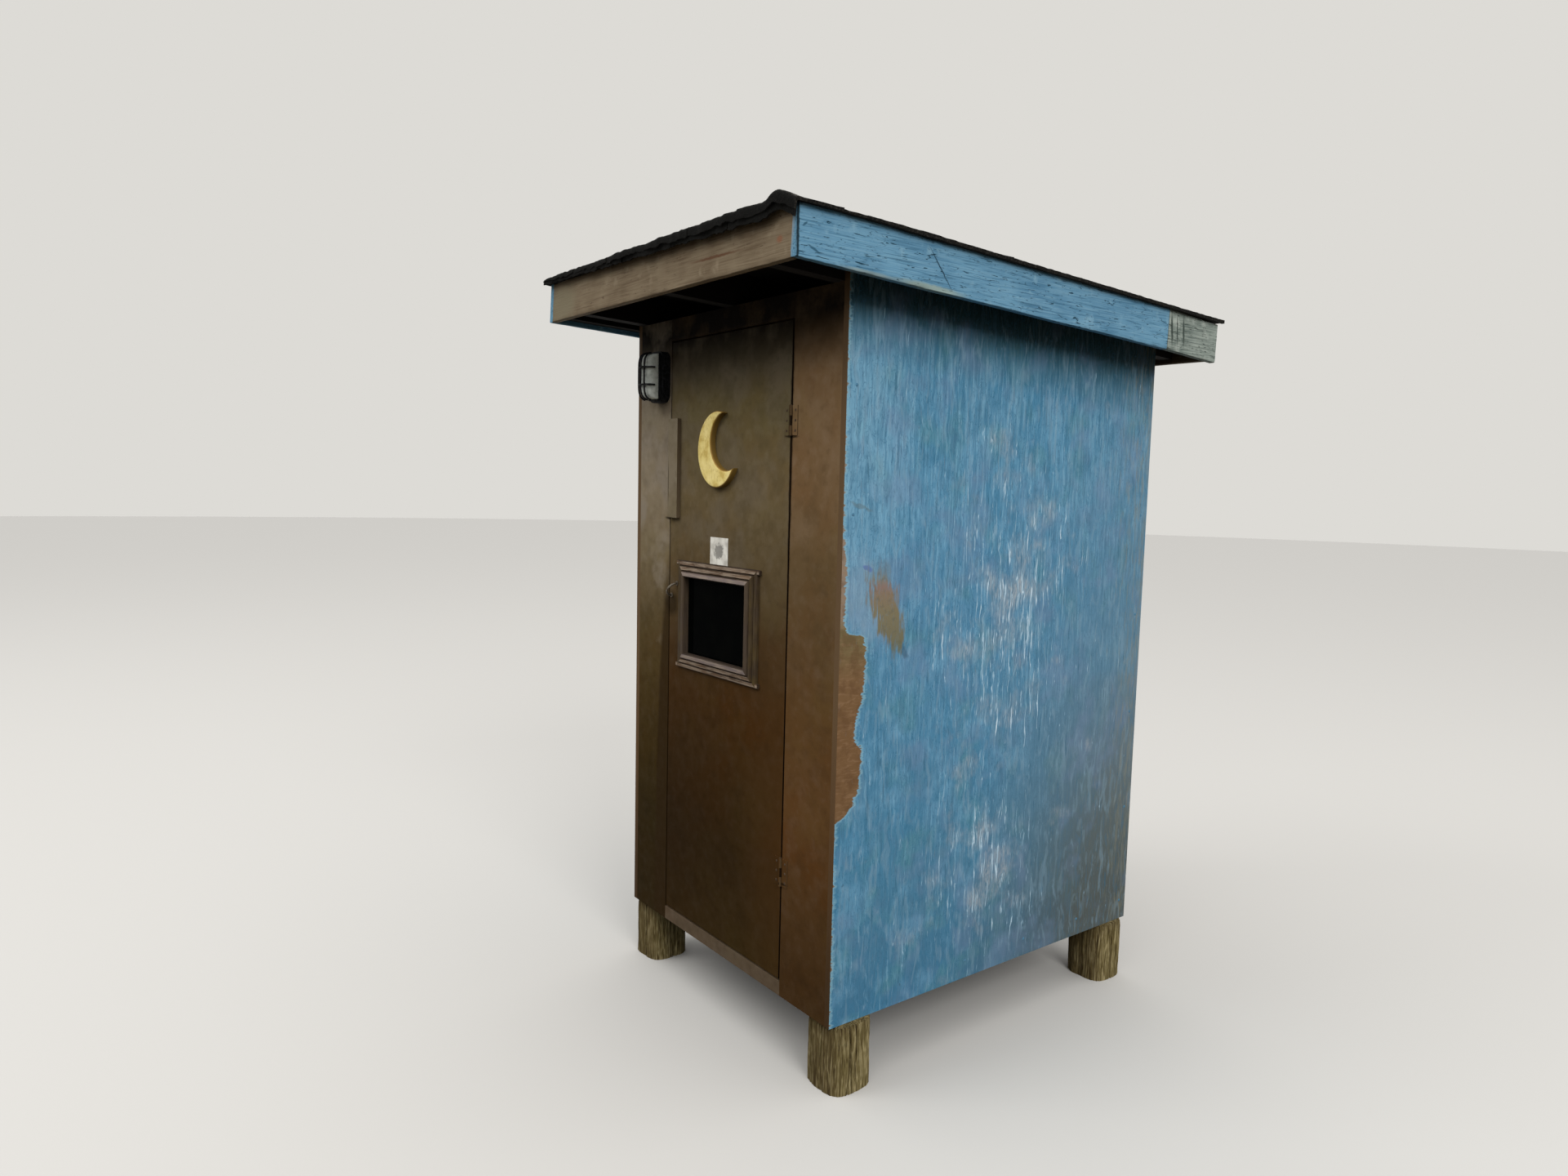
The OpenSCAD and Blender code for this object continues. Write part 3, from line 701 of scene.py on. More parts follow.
@dataclass(frozen=True)
class AsphaltShingle:
    """Mineral granules pressed in black asphalt felt: coarse and dull, with grey grains and dust."""

    name: str = "granulated_asphalt_shingle"

    def build(self) -> bpy.types.Material:
        """Builds the material: grains of 3 mm, which is twice their real size so that they show, dust, and
        painted shade on the faces towards the front.
        """
        r = Recipe(self.name)
        dark, bleached = (r.add("ValToRGB", (r.cloud(*field, 1.0),), stops=stops) for field, stops in (
            ((5, 0.6), ((0.36, "#080807"), (0.52, "#11100e"), (0.7, "#262420"))),
            ((6, 0.9), ((0.38, "#1b1a18"), (0.52, "#33312d"), (0.66, "#5b5850")))))
        tone = r.coats(
            dark,
            (r.facing((0, 0, 1)), 0.7, 0.99, 0.7, bleached),
            (r.cloud(90, 0.1), 0.45, 0.75, 0.25, "#26231b"),
            # Painted shade: faces towards the front are darkened to near black
            (r.facing((0, -1, 0)), 0.3, 0.8, 0.8, "#060605"))
        grains = r.add("TexVoronoi", {"Vector": r.place, "Scale": 1 / (3 * MM)}, "Distance")
        return r.skin(tone, 0.95, grains, 0.8, {"Specular IOR Level": 0.1})


@dataclass(frozen=True)
class MoonPaint:
    """Cream yellow gloss paint on a sawn board: ochre stains where water hangs, and a worn brown arris."""

    name: str = "cream_gloss_paint_on_board"

    def build(self) -> bpy.types.Material:
        """Builds the material: stains, faint grain, brown arris and ochre sides."""
        r = Recipe(self.name)
        fine = r.grain(Axis.Z, 4, 60, 3.0, 0.6)
        outward = r.facing((0, -1, 0))
        stained = r.cloud(34, 0.5, 5.0)
        tone = r.coats(
            r.add("ValToRGB", (stained,), stops=((0.34, "#cdb263"), (0.44, "#e2cd80"), (0.68, "#f0de98"))),
            (fine, 0.56, 0.72, 0.35, "#c9b266"),
            (r.cloud(9, 0.6, 3.0), 0.55, 0.66, 0.35, "#b99a4e"),
            (outward, 0.98, 0.75, 0.9, "#866127"),
            (outward, 0.5, 0.0, 1.0, "#6a5326"))
        return r.skin(tone, 0.45, fine, 0.4)


@dataclass(frozen=True)
class WindowTrimPaint:
    """Brown paint on milled pine moulding, rubbed to pale wood in streaks along the tops of its ridges.

    The inner ridge is a middle and a reach across the moulding, a cover and a colour.
    """

    name: str
    axis: Axis
    paint: tuple[str, str]
    rubbed: float
    groove_shade: float
    inner: tuple[float, float, float, str]

    def build(self) -> bpy.types.Material:
        """Builds the material: streaks along the ridges, and painted shade in the grooves and on the sides.
        """
        r = Recipe(self.name)
        streaks = r.grain(self.axis, 5, 60, 4.0, 0.6)
        middle, reach, cover, colour = self.inner
        across = Axis.X if self.axis is Axis.Z else Axis.Z
        off = r.add("Math ADD", (r.add("SeparateXYZ", (r.place,), across.value), -middle))
        off = r.add("Math ABSOLUTE", (off,))
        mottle = r.cloud(40, 0.35, 4.0)
        tone = r.coats(
            r.add("ValToRGB", (mottle,), stops=((0.34, self.paint[0]), (0.66, self.paint[1]))),
            (off, reach + 3 * MM, reach - 3 * MM, cover, colour),
            (streaks, 0.42, 0.60, self.rubbed, "#948676"),
            # Painted shade: faces that turn away from the front are darkened
            (r.facing((0, -1, 0)), 0.96, 0.80, self.groove_shade, "#261c13"))
        return r.skin(tone, 0.6, streaks, 0.3)


@dataclass(frozen=True)
class FadedNotice:
    """Sheet of paper that rain has stained, with a washed out grey block and nothing legible on it."""

    centre: Point
    name: str = "rain_stained_paper"

    def build(self) -> bpy.types.Material:
        """Builds the material: paper tone, soft stains and the block, broken up by small blotches."""
        r = Recipe(self.name)
        tone = r.add("ValToRGB", (r.cloud(34, 0.15),), stops=((0.42, "#dedbd1"), (0.66, "#b4b0a6")))
        block = r.region(self.centre, (0.040, 0.1, 0.036))
        block = r.add("Math MULTIPLY_ADD", (r.cloud(8, 0.3), 0.9, block))
        return r.skin(r.coats(tone, (block, 0.78, 1.0, 0.75, "#66645f")), 0.85)


@dataclass(frozen=True)
class PlainFinish:
    """Finish with one main colour, a second one in blotches and a roughness that varies with them."""

    name: str
    colours: tuple[str, str]
    roughness: tuple[float, float]
    blotch_mm: float = 12.0
    depth_mm: float = 0.15
    others: tuple[tuple[str, Any], ...] = ()

    def build(self) -> bpy.types.Material:
        """Builds the material from one field of blotches."""
        r = Recipe(self.name)
        spots = r.cloud(self.blotch_mm, 0.15, 5.0)
        tone = r.add("ValToRGB", (spots,), stops=((0.42, self.colours[0]), (0.66, self.colours[1])))
        shine = r.add("MapRange", (spots, 0.3, 0.7, *self.roughness))
        return r.skin(tone, shine, spots, self.depth_mm, dict(self.others))


# Sub-assemblies


@dataclass(frozen=True)
class RoofPlane:
    """Frame of the tilted roof: y from its middle down the fall, z up from the top of the roof sheet."""

    top_z: float = 2.080
    fall: float = math.radians(2.5)
    half_w: float = 0.613
    half_l: float = 0.8015
    drip: float = 0.015

    def place(self, points: np.ndarray) -> np.ndarray:
        """Turns points of the roof's frame by the fall about X, and lifts them to the roof's height.

        Args:
            points: Points of the roof's frame.

        Returns:
            The points in the row frame.
        """
        x, y, z = points[..., 0], points[..., 1], points[..., 2]
        cos, sin = math.cos(self.fall), math.sin(self.fall)
        return grid(x, y * cos + z * sin, self.top_z - y * sin + z * cos)

    def sheet(self, x: np.ndarray, y: np.ndarray, top: np.ndarray, under: np.ndarray) -> Part:
        """Closed sheet between two heights over the same places of the roof."""
        return slab(self.place(grid(x, y, top)), self.place(grid(x, y, under)))


@dataclass(frozen=True)
class Board:
    """One weathered board as a rounded rectangle carried along a straight line.

    Its arrises are dented by noise along the length, and its width swells and narrows slowly.
    """

    start: Point
    end: Point
    across: Point
    width: float
    thick: float
    seed: int
    arris: float = 2.2 * MM
    swell: float = 0.9 * MM
    dent: float = 1.5 * MM
    ridge: float = 0.35 * MM

    def rings(self) -> np.ndarray:
        """Rings of points: the profile plus slow noise, less fine noise at its corners."""
        start, end, across = (np.array(v, dtype=float) for v in (self.start, self.end, self.across))
        length = np.linalg.norm(end - start)
        along = (end - start) / length
        normal = np.cross(along, across)
        profile = rounded_rectangle(self.width, self.thick, self.arris, 10)
        sides = np.sign(profile)
        out = np.abs(profile / (np.array([self.width, self.thick]) / 2))
        corner = np.clip(out.min(axis=1) * 1.6 - 0.7, 0, 1)
        s = np.linspace(0, 1, max(int(length / (9 * MM)), 8))[:, None] * length
        turn = np.linspace(0, 1, len(profile), endpoint=False)
        dents = self.dent * np.clip(rough(s / 0.028, turn * 31, self.seed + 5), 0, 1) * corner
        slow = self.swell * value_noise(s / 0.21, sides[:, 0] * 3.0, self.seed)
        fine = self.ridge * value_noise(s / 0.09, turn * 90, self.seed + 9)
        w, t = (profile[:, k] * (1 - dents / (size / 2)) + lift * sides[:, k]
                for k, size, lift in ((0, self.width, slow), (1, self.thick, fine)))
        return start + s[..., None] * along + w[..., None] * across + t[..., None] * normal


@dataclass
class Fascias:
    """Boards round the edge of the roof: blue along the sides, brown at front and back, one bare patch."""

    roof: RoofPlane
    height: float = 0.114
    thick: float = 0.019
    patch: float = 0.254
    droop: float = math.radians(1.2)

    def side_marks(self, *rows: tuple[float, float, float, float, float, str]) -> tuple:
        """Marks on the outer face of the right board.

        Args:
            *rows: Place along and up, half length, half height, lean in degrees and colour.

        Returns:
            The marks of its paint.
        """
        return tuple(((self.roof.half_w, y, z), (0.03, half, tall), (lean, 0, 0), colour)
                     for y, z, half, tall, lean, colour in rows)

    def paints(self) -> dict[str, bpy.types.Material]:
        """Builds the finishes by the record's slot, with the cracks and stains that the boards show and
        painted shade inside the back board.
        """
        front = -self.roof.half_l
        upright = (0, 0, 0)
        corner = (((self.roof.half_w, front, 2.05), (0.006, 0.005, 0.5), upright, "#1b2d36"),
                  ((self.roof.half_w - self.thick, front, 2.05), (0.012, 0.006, 0.5), upright, "#7d8f9a"))
        strokes = self.side_marks(
            (-0.379, 2.034, 0.0026, 0.085, 41, "#27404f"), (-0.60, 1.995, 0.11, 0.007, -2.5, "#7b9095"),
            (-0.41, 1.988, 0.15, 0.012, -2.5, "#81938f"), (-0.757, 2.022, 0.024, 0.004, -24, "#33566a"),
            (-0.783, 2.071, 0.012, 0.0035, 35, "#33566a"))
        splits = self.side_marks(*((y, 2.0, wide, 0.06, 6, "#39423d")
                                   for y, wide in ((0.563, 0.008), (0.590, 0.004), (0.622, 0.006))))
        stains = (((0.552, front, 2.046), (0.016, 0.02, 0.011), upright, "#7c5842"),
                  ((0.30, front, 2.050), (0.14, 0.02, 0.005), (0, 1, 0), "#5c4230"),
                  ((-0.53, front, 2.045), (0.13, 0.02, 0.08), upright, "#746b56"),
                  # Painted shade on the inner face of the back board, under the roof
                  ((0.0, -front - self.thick, 2.0), (1.6, 0.012, 0.15), upright, "#0d0a07"))
        rows = {
            "blue_paint": (
                "blue_paint_on_sawn_fascia", Axis.Y, ("#4a7590", "#5d88a1"), "#1d3a49", "#789cae", 0.45, 0.2,
                strokes + corner),
            "brown_paint": (
                "brown_paint_on_sawn_fascia", Axis.X, ("#5f503d", "#766853"), "#584635", "#857762", 0.0, 0.32,
                stains),
            "bare_board": (
                "bare_weathered_softwood", Axis.Y, ("#5c6761", "#868f87"), "#363e39", "#a3aaa1", 0.6, 0.6,
                splits)}
        return {slot: PaintedBoard(*row).build() for slot, row in rows.items()}

    def build(self) -> None:
        """Makes the five upright boards, which hang from the top of the roof sheet."""
        inset, low = self.thick / 2, -self.height / 2
        x, y = self.roof.half_w - inset, self.roof.half_l
        inner, split = self.roof.half_w - self.thick, y - self.patch
        slip = self.height * math.sin(self.droop)
        drop = (self.patch - slip) * math.tan(self.droop)
        paints = self.paints()
        rows = (("right", (x, -y, low), (x, split, low), "blue_paint"),
                ("left", (-x, -y, low), (-x, y, low), "blue_paint"),
                ("front", (-inner, -y + inset, low), (inner, -y + inset, low), "brown_paint"),
                ("back", (-inner, y - inset, low), (inner, y - inset, low), "brown_paint"),
                ("patch", (x, split + slip, low), (x, y, low - drop), "bare_board"))
        for seed, (side, start, end, slot) in enumerate(rows, 3):
            rings = Board(start, end, (0, 0, 1), self.height, self.thick, seed).rings()
            parts = [tube(self.roof.place(rings))]
            build_piece(f"fascia_board_{side}", parts, paints[slot], Body.CABIN, (f"fascia_{side}",))


@dataclass
class Shingles:
    """Three-tab asphalt shingles on felt, with ragged ends at the eaves and a cap over the front edge."""

    roof: RoofPlane
    show: float = 0.136
    cover: float = 1.25
    tab: float = 0.305
    slit: float = 0.007
    thick: float = 0.0035
    felt: float = 0.003
    felt_reach: float = 0.011
    step: float = 0.006
    curl_mm: float = 3.5
    rake: float = 0.032
    cap: float = 0.0038
    cap_back: float = 0.105
    cap_bend: float = 0.010
    bump_x: float = 0.562
    bump_half: float = 0.030
    curl_x: float = 0.59

    def edges(self, seed: int) -> tuple[float, float]:
        """Left and right ends of a course, each a few millimetres off the drip line.

        Args:
            seed: Picks the course's own ends.

        Returns:
            Places of the left and of the right end.
        """
        off = np.random.default_rng(seed).uniform(-7, 1, 2) * MM
        reach = self.roof.half_w + self.roof.drip - 8 * MM
        return -reach - off[0], reach + off[1]

    def tab_part(self, x0: float, x1: float, low: float, seed: int) -> Part:
        """One tab: a slab that is highest at its butt, whose free corners curl up by the cube of their share.

        Args:
            x0: Left edge.
            x1: Right edge.
            low: Position of the butt along the fall.
            seed: Picks the tab's own curl and ragged edge.

        Returns:
            The closed slab.
        """
        rng = np.random.default_rng(seed)
        u, v = np.meshgrid(np.linspace(0, 1, 15), np.linspace(0, 1, 9))
        curl = rng.uniform(0, self.curl_mm, 2) * MM
        ragged = 2.2 * MM * rough(u * 9 + seed, v * 0.7, seed)
        x = x0 + (x1 - x0) * u + 1.6 * MM * rough(v * 6, u * 0.4 + seed, seed + 3)
        y = low - v * self.show * self.cover + ragged * (1 - v) + rng.uniform(-3, 3) * MM
        lift = (curl[0] * (1 - u) ** 3 + curl[1] * u**3) * (1 - v) ** 3
        z = self.felt + self.step * (1 - v) + lift
        return self.roof.sheet(x, np.maximum(y, -self.roof.half_l), z, z - self.thick)

    def felt_part(self, seed: int) -> Part:
        """Sheet of felt over the whole roof: a slab whose rim wanders by noise and sags by a square law.

        Args:
            seed: Picks its noise.

        Returns:
            The closed slab.
        """
        u, v = np.meshgrid(np.linspace(-1, 1, 90), np.linspace(-1, 1, 110))
        half_x, half_y = self.roof.half_w + self.felt_reach, self.roof.half_l + self.felt_reach
        x = u * (half_x + 3 * MM * rough(v * 26, np.sign(u), seed) * np.abs(u))
        y = v * (half_y + 3 * MM * rough(u * 20, np.sign(v) + 5, seed) * np.abs(v))
        past = np.clip(np.abs(u) * half_x - self.roof.half_w, 0, 1) / self.roof.drip
        thick = self.felt - 0.4 * MM
        z = 0.2 * MM + thick - 4 * MM * past**2 * 0.4 + 0.4 * MM * rough(u * 9, v * 9, seed)
        return self.roof.sheet(x, y, z, z - thick)

    def rake_part(self, side: int, seed: int) -> Part:
        """Folded strip along a side of the roof: a band whose edges wander by slow and fine noise.

        It is 8.5 mm high and tapers towards the front.

        Args:
            side: -1 for the left side, 1 for the right side.
            seed: Picks its noise.

        Returns:
            The closed strip.
        """
        u, v = np.meshgrid(np.linspace(0, 1, 7), np.linspace(-1, 1, 260))
        y = v * (self.roof.half_l + self.roof.drip - 2 * MM)
        reach = self.roof.half_w + self.roof.drip + 0.8 * MM * rough(y * 16, 0, seed)
        x = side * (reach - self.rake * (1 - u) - 2 * MM * u**6)
        rise = 8.5 - 5 * np.clip((-0.5 - y) / 0.3, 0, 1)
        z = (rise + 0.9 * rough(y * 12, 0, seed + 3) + 1.1 * rough(y * 60, 0, seed + 6) - 1.5 * u**6) * MM
        low = -1.5 * MM + 1.2 * MM * rough(y * 30, 0, seed + 9) * u
        return self.roof.sheet(x, y, z, np.where(u > 0.6, low, 1 * MM))

    def heave(self, x: np.ndarray) -> np.ndarray:
        """Waves of the cap: noise of three sizes, a bell before the right corner and a curl down at it.

        Args:
            x: Places across the roof.

        Returns:
            Heights at the places, in millimetres.
        """
        waves = 0.9 * rough(x * 9, 0, 77) + 1.5 * rough(x * 48, 0, 78) + 1.0 * rough(x * 95, 0, 79)
        bell = 12 * np.exp(-(((x - self.bump_x) / self.bump_half) ** 2))
        return 2.5 + waves + bell - 6 * np.clip((x - self.curl_x) / 0.035, 0, 1) ** 2

    def cap_part(self, x0: float, x1: float, layer: int, seed: int) -> Part:
        """One cap shingle folded over the front edge: a strip carried over a quarter circle, torn at its hem.

        It hangs lower towards the right, is pushed up before the right corner and curls down at it.

        Args:
            x0: Left edge.
            x1: Right edge.
            layer: 0 for the lower layer, 1 for the one above it.
            seed: Picks its tears.

        Returns:
            The closed strip.
        """
        u, v = np.meshgrid(np.linspace(0, 1, 49), np.linspace(0, 1, 24))
        x = x0 + (x1 - x0) * u + 1.5 * MM * rough(v * 5, u * 0.5, seed + 8)
        share = np.maximum(x / self.roof.half_w + 1, 0) / 2
        back, bend = self.cap_back, self.cap_bend
        hem = (0.004 + 0.024 * share**0.8) * (1 - 0.4 * layer)
        run = v * (back + bend * QUARTER + hem)
        turn = np.clip((run - back) / bend, 0, QUARTER)
        down = np.clip(run - back - bend * QUARTER, 0, 1)
        proud = (0.005 + 0.003 * rough(x * 14, 0, seed + 4)) * (1 + layer)
        reach = self.roof.half_l + self.roof.drip + proud
        y = -(reach - bend - np.clip(back - run, 0, 1) + bend * np.sin(turn))
        torn = 5 * MM * rough(x * 45, 0, seed) * np.clip(down / hem, 0, 1)
        raised = self.heave(x) * MM * np.clip(run / back, 0, 1) ** 2
        right_end = 8 * MM * np.clip((x - 0.585) / 0.04, 0, 1)
        base = self.felt + self.step + (0.8 + 3.2 * layer) * MM
        z = base + raised - right_end - bend * (1 - np.cos(turn)) - down + torn
        outer = grid(x, y, z)
        inward = grid(0, np.sin(turn), -np.cos(turn)) * self.cap
        return slab(self.roof.place(outer), self.roof.place(outer + inward))

    def build(self) -> None:
        """Makes felt, side strips, courses and caps as one piece."""
        reach = self.roof.half_w + self.roof.drip
        length = 2 * (self.roof.half_l + self.roof.drip)
        parts = [self.felt_part(21), *(self.rake_part(side, 31 + side) for side in (-1, 1))]
        for course in range(int(length / self.show)):
            low = length / 2 - course * self.show
            left, right = self.edges(course)
            first = left - self.tab * (0.5 if course % 2 else 0.0)
            for k in range(math.ceil((right - first) / self.tab)):
                x0 = max(first + k * self.tab + self.slit / 2, left)
                x1 = min(first + (k + 1) * self.tab - self.slit / 2, right)
                if x1 - x0 > 0.02:
                    parts.append(self.tab_part(x0, x1, low, 100 + course * 9 + k))
        for layer, count in enumerate((5, 6)):
            ends = np.linspace(-reach, reach, count + 1)
            parts += [self.cap_part(a + 1 * MM, b - 1 * MM, layer, 40 + k + 9 * layer)
                      for k, (a, b) in enumerate(zip(ends, ends[1:]))]
        granules = AsphaltShingle().build()
        build_piece("shingle_courses", parts, granules, Body.CABIN, ("roof_shingles",))


@dataclass
class Piers:
    """Four rough posts under the corners: square-ish logs, split along the fibres and frayed at the top."""

    corners: tuple[str, ...] = ("front_left", "front_right", "back_left", "back_right")
    around: int = 240
    rings: int = 46
    fill: float = 0.93
    squareness: float = 3.4
    splits: int = 13
    split_depth: tuple[float, float] = (3 * MM, 10 * MM)
    split_width: tuple[float, float] = (0.012, 0.03)
    fray: float = 13.0
    crown: float = 0.86

    def part(self, node: str, seed: int) -> Part:
        """One post: a rounded square of radius a / (|cos|^p + |sin|^p)^(1/p), less its splits, plus fibres.

        Args:
            node: Name of the node that it stands for.
            seed: Picks its splits and its turn.

        Returns:
            The closed skin.
        """
        low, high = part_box(node)
        centre, half, p = (low + high) / 2, (high.x - low.x) / 2 * self.fill, self.squareness
        rng = np.random.default_rng(seed)
        angle = np.linspace(0, ROUND, self.around, endpoint=False)[None, :]
        share = np.linspace(0, 1, self.rings)[:, None]
        own = angle + math.radians(rng.uniform(-9, 9))
        radius = half / (np.abs(np.cos(own)) ** p + np.abs(np.sin(own)) ** p) ** (1 / p)
        radius = radius + 2.2 * MM * rough(own * 3, share * 1.5, seed)
        radius += 1.1 * MM * value_noise(angle * 38, share * 4, seed + 2)
        ranges = ((0, ROUND), self.split_depth, self.split_width)
        for where, depth, width in zip(*(rng.uniform(*ends, self.splits) for ends in ranges)):
            wander = where + 0.06 * value_noise(share * 3, where, seed)
            gap = np.angle(np.exp(1j * (angle - wander)))
            radius -= depth * np.exp(-((gap / width) ** 2)) * (0.35 + 0.65 * share)
        radius *= 1 - 0.03 * np.clip((share - 0.9) / 0.1, 0, 1)
        frayed = np.clip(rough(angle * 9, 0.5, seed + 4), 0, 1) * self.fray * MM
        x, y = radius * np.cos(angle), radius * np.sin(angle)
        skin = grid(centre.x + x, centre.y + y, share * (high.z - low.z - frayed))
        top = grid(centre.x + self.crown * x[-1:], centre.y + self.crown * y[-1:], high.z - 0.2 * MM)
        return tube(np.concatenate([skin, top]))

    def build(self) -> None:
        """Makes the four posts."""
        material = WeatheredLog().build()
        for seed, corner in enumerate(self.corners, 60):
            node = f"pier_{corner}"
            build_piece(f"log_post_{corner}", [self.part(node, seed)], material, Body.CABIN, (node,))


def front_marks(y: float, *rows: tuple, deep: float = 0.2) -> tuple:
    """Marks for a sheet on the front of the building.

    Args:
        y: Where the front is.
        *rows: Place across and up, half width, half height, strength where full, cover and colour.
        deep: Half depth of the marks.

    Returns:
        The marks as the sheet's paint takes them.
    """
    return tuple(((x, y, z), (wide, deep, tall), *rest) for x, z, wide, tall, *rest in rows)


# Painted shadows under the hinges and painted shade up the gap between door and post, the stain round the
# pull and the painted shadow under the strip
HINGE_SHADOWS = front_marks(-0.5605, *((0.291, z, 0.032, 0.0045, 0.5, 0.8, "#1a130b") for z in (0.489, 1.648)),
                          (0.2895, 1.60, 0.008, 0.60, 0.5, 0.75, "#1f150c"))
PULL_STAIN = (-0.285, 1.165, 0.045, 0.045, 0.5, 0.7, "#1f1608")
STRIP_SHADOW = (-0.298, 1.422, 0.037, 0.006, 0.5, 0.9, "#1c150c")


@dataclass
class Cabin:
    """Walls, floor and frame, which keep the frame's own solids."""

    def sheets(self) -> None:
        """Paints the wall sheets: they darken towards their foot, partly from damp and partly as painted
        shade, and the strip under the roof is painted shade.
        """
        right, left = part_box("wall_right"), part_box("wall_left")
        front_y = right[0].y
        dress(BlueSheetPaint((1, 0, 0), right[1].x, front_y, True).build(), "wall_right")
        dress(BlueSheetPaint((-1, 0, 0), left[0].x, front_y, False).build(), "wall_left")
        # The front sheets' tones end near black under the roof as painted shade, and their low tones are
        # partly damp, partly painted shade
        latch = BrownSheetPaint("brown_latex_paint_latch_side", (0, 1, 0), (
            (0.28, "#2a200e"), (0.49, "#2b210d"), (0.69, "#362910"), (0.9, "#413219"), (1.1, "#4f4128"),
            (1.3, "#6d5f47"), (1.51, "#80735e"), (1.8, "#7b705e"), (1.88, "#5d5344"), (1.95, "#15110c")),
            "#82786a", 0.75, ((1.0, "#4a3b29"), (0.25, "#33271a")),
            front_marks(front_y, (-0.303, 0.25, 0.072, 1.08, 0.14, 0.8, "#2a1d0c"), STRIP_SHADOW, PULL_STAIN))
        # The hinge side's left edge, in the gap by the door, is near black as painted shade
        hinge = BrownSheetPaint("brown_latex_paint_hinge_side", (0, 1, 0), (
            (0.28, "#3e2b16"), (0.49, "#4a341c"), (0.69, "#563c22"), (0.95, "#563e23"), (1.1, "#57422a"),
            (1.3, "#5d4b32"), (1.51, "#6c553a"), (1.80, "#725a3f"), (1.88, "#54422e"), (1.95, "#100c08")),
            "#7a664f", 0.35, ((1.0, "#1a120b"), (1.0, "#4a3b29")), HINGE_SHADOWS)
        sill = BrownSheetPaint("brown_latex_paint_on_sill", (0, 1, 0), ((0.18, "#534637"), (2.0, "#534637")))
        back = BrownSheetPaint("brown_latex_paint_on_back", (0, -1, 0), (
            (0.28, "#3f2b16"), (0.69, "#523a21"), (1.1, "#56422a"), (1.51, "#665138"), (1.88, "#6d563c")))
        dress(latch.build(), "wall_front_left")
        dress(hinge.build(), "wall_front_right", "wall_front_head", "hinge_post_leaves")
        dress(sill.build(), "door_sill")
        dress(back.build(), "wall_back")

    def build(self) -> None:
        """Gives each sheet and timber its finish; what lies under the roof is near black as painted shade."""
        self.sheets()
        for name, axis, tones, nodes in (
                ("sawn_softwood_across", Axis.X, (), ("rim_joists", "door_header", "back_plate")),
                ("sawn_softwood_upright", Axis.Z, (), ("corner_posts", "door_posts")),
                ("sawn_softwood_lengthwise", Axis.Y, (), ("floor_joists",)),
                # Painted shade: the timber and sheathing under the roof are near black
                ("sawn_softwood_in_painted_shade_under_the_roof", Axis.Y, ("#0f0b08", "#080604"),
                 ("side_plates", "rafters", "barge_rafters")),
                ("sheathing_plywood_in_painted_shade", Axis.Y, ("#15100b", "#0c0906"), ("roof_deck",)),
                ("floor_plywood", Axis.Y, ("#4f412d", "#33291b"), ("floor",))):
            dress(SawnTimber(name, axis, *tones).build(), *nodes)


@dataclass
class Moon:
    """Cut-out crescent board on the door, between an ellipse and a circle, with its arris sanded round."""

    radius_x: float = 0.095
    radius_z: float = 0.105
    cut: float = 0.080
    cut_x: float = 0.050
    cut_z: float = 0.022
    round_over: float = 0.005

    def arcs(self, share: np.ndarray) -> tuple[np.ndarray, np.ndarray]:
        """Outer and inner edge from the upper tip to the lower one: arcs of the ellipse and of the circle.

        Args:
            share: Places along the edges, from 0 to 1.

        Returns:
            Points of the outer and of the inner edge, two values each.
        """
        turn = np.linspace(0, ROUND, 7200)
        x, z = self.radius_x * np.cos(turn), self.radius_z * np.sin(turn)
        kept = turn[np.hypot(x - self.cut_x, z - self.cut_z) >= self.cut]
        turn = kept[0] + share * (kept[-1] - kept[0])
        outer = grid(self.radius_x * np.cos(turn), self.radius_z * np.sin(turn))
        ends = np.arctan2(outer[[0, -1], 1] - self.cut_z, outer[[0, -1], 0] - self.cut_x) % ROUND
        turn = ends[0] + share * (ends[1] - ends[0])
        return outer, grid(self.cut_x + self.cut * np.cos(turn), self.cut_z + self.cut * np.sin(turn))

    def build(self) -> None:
        """Makes the crescent between its two arcs, whose face falls along a quarter circle at each edge."""
        low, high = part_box("moon")
        outer, inner = self.arcs(np.linspace(0, 1, 81))
        across = (1 - np.cos(np.linspace(0, math.pi, 17)))[None, :] / 2
        flat = outer[:, None, :] * (1 - across[..., None]) + inner[:, None, :] * across[..., None]
        width = np.linalg.norm(outer - inner, axis=1)[:, None]
        inset = np.clip(np.minimum(across, 1 - across) * width / self.round_over, 0, 1)
        fall = self.round_over * (1 - np.sqrt(1 - (1 - inset) ** 2))
        x, z = flat[..., 0] + low.x + self.radius_x, flat[..., 1] + low.z + self.radius_z
        board = slab(grid(x, low.y + fall, z), grid(x, high.y, z))
        build_piece("moon_board", [board], MoonPaint().build(), Body.DOOR, ("moon",))


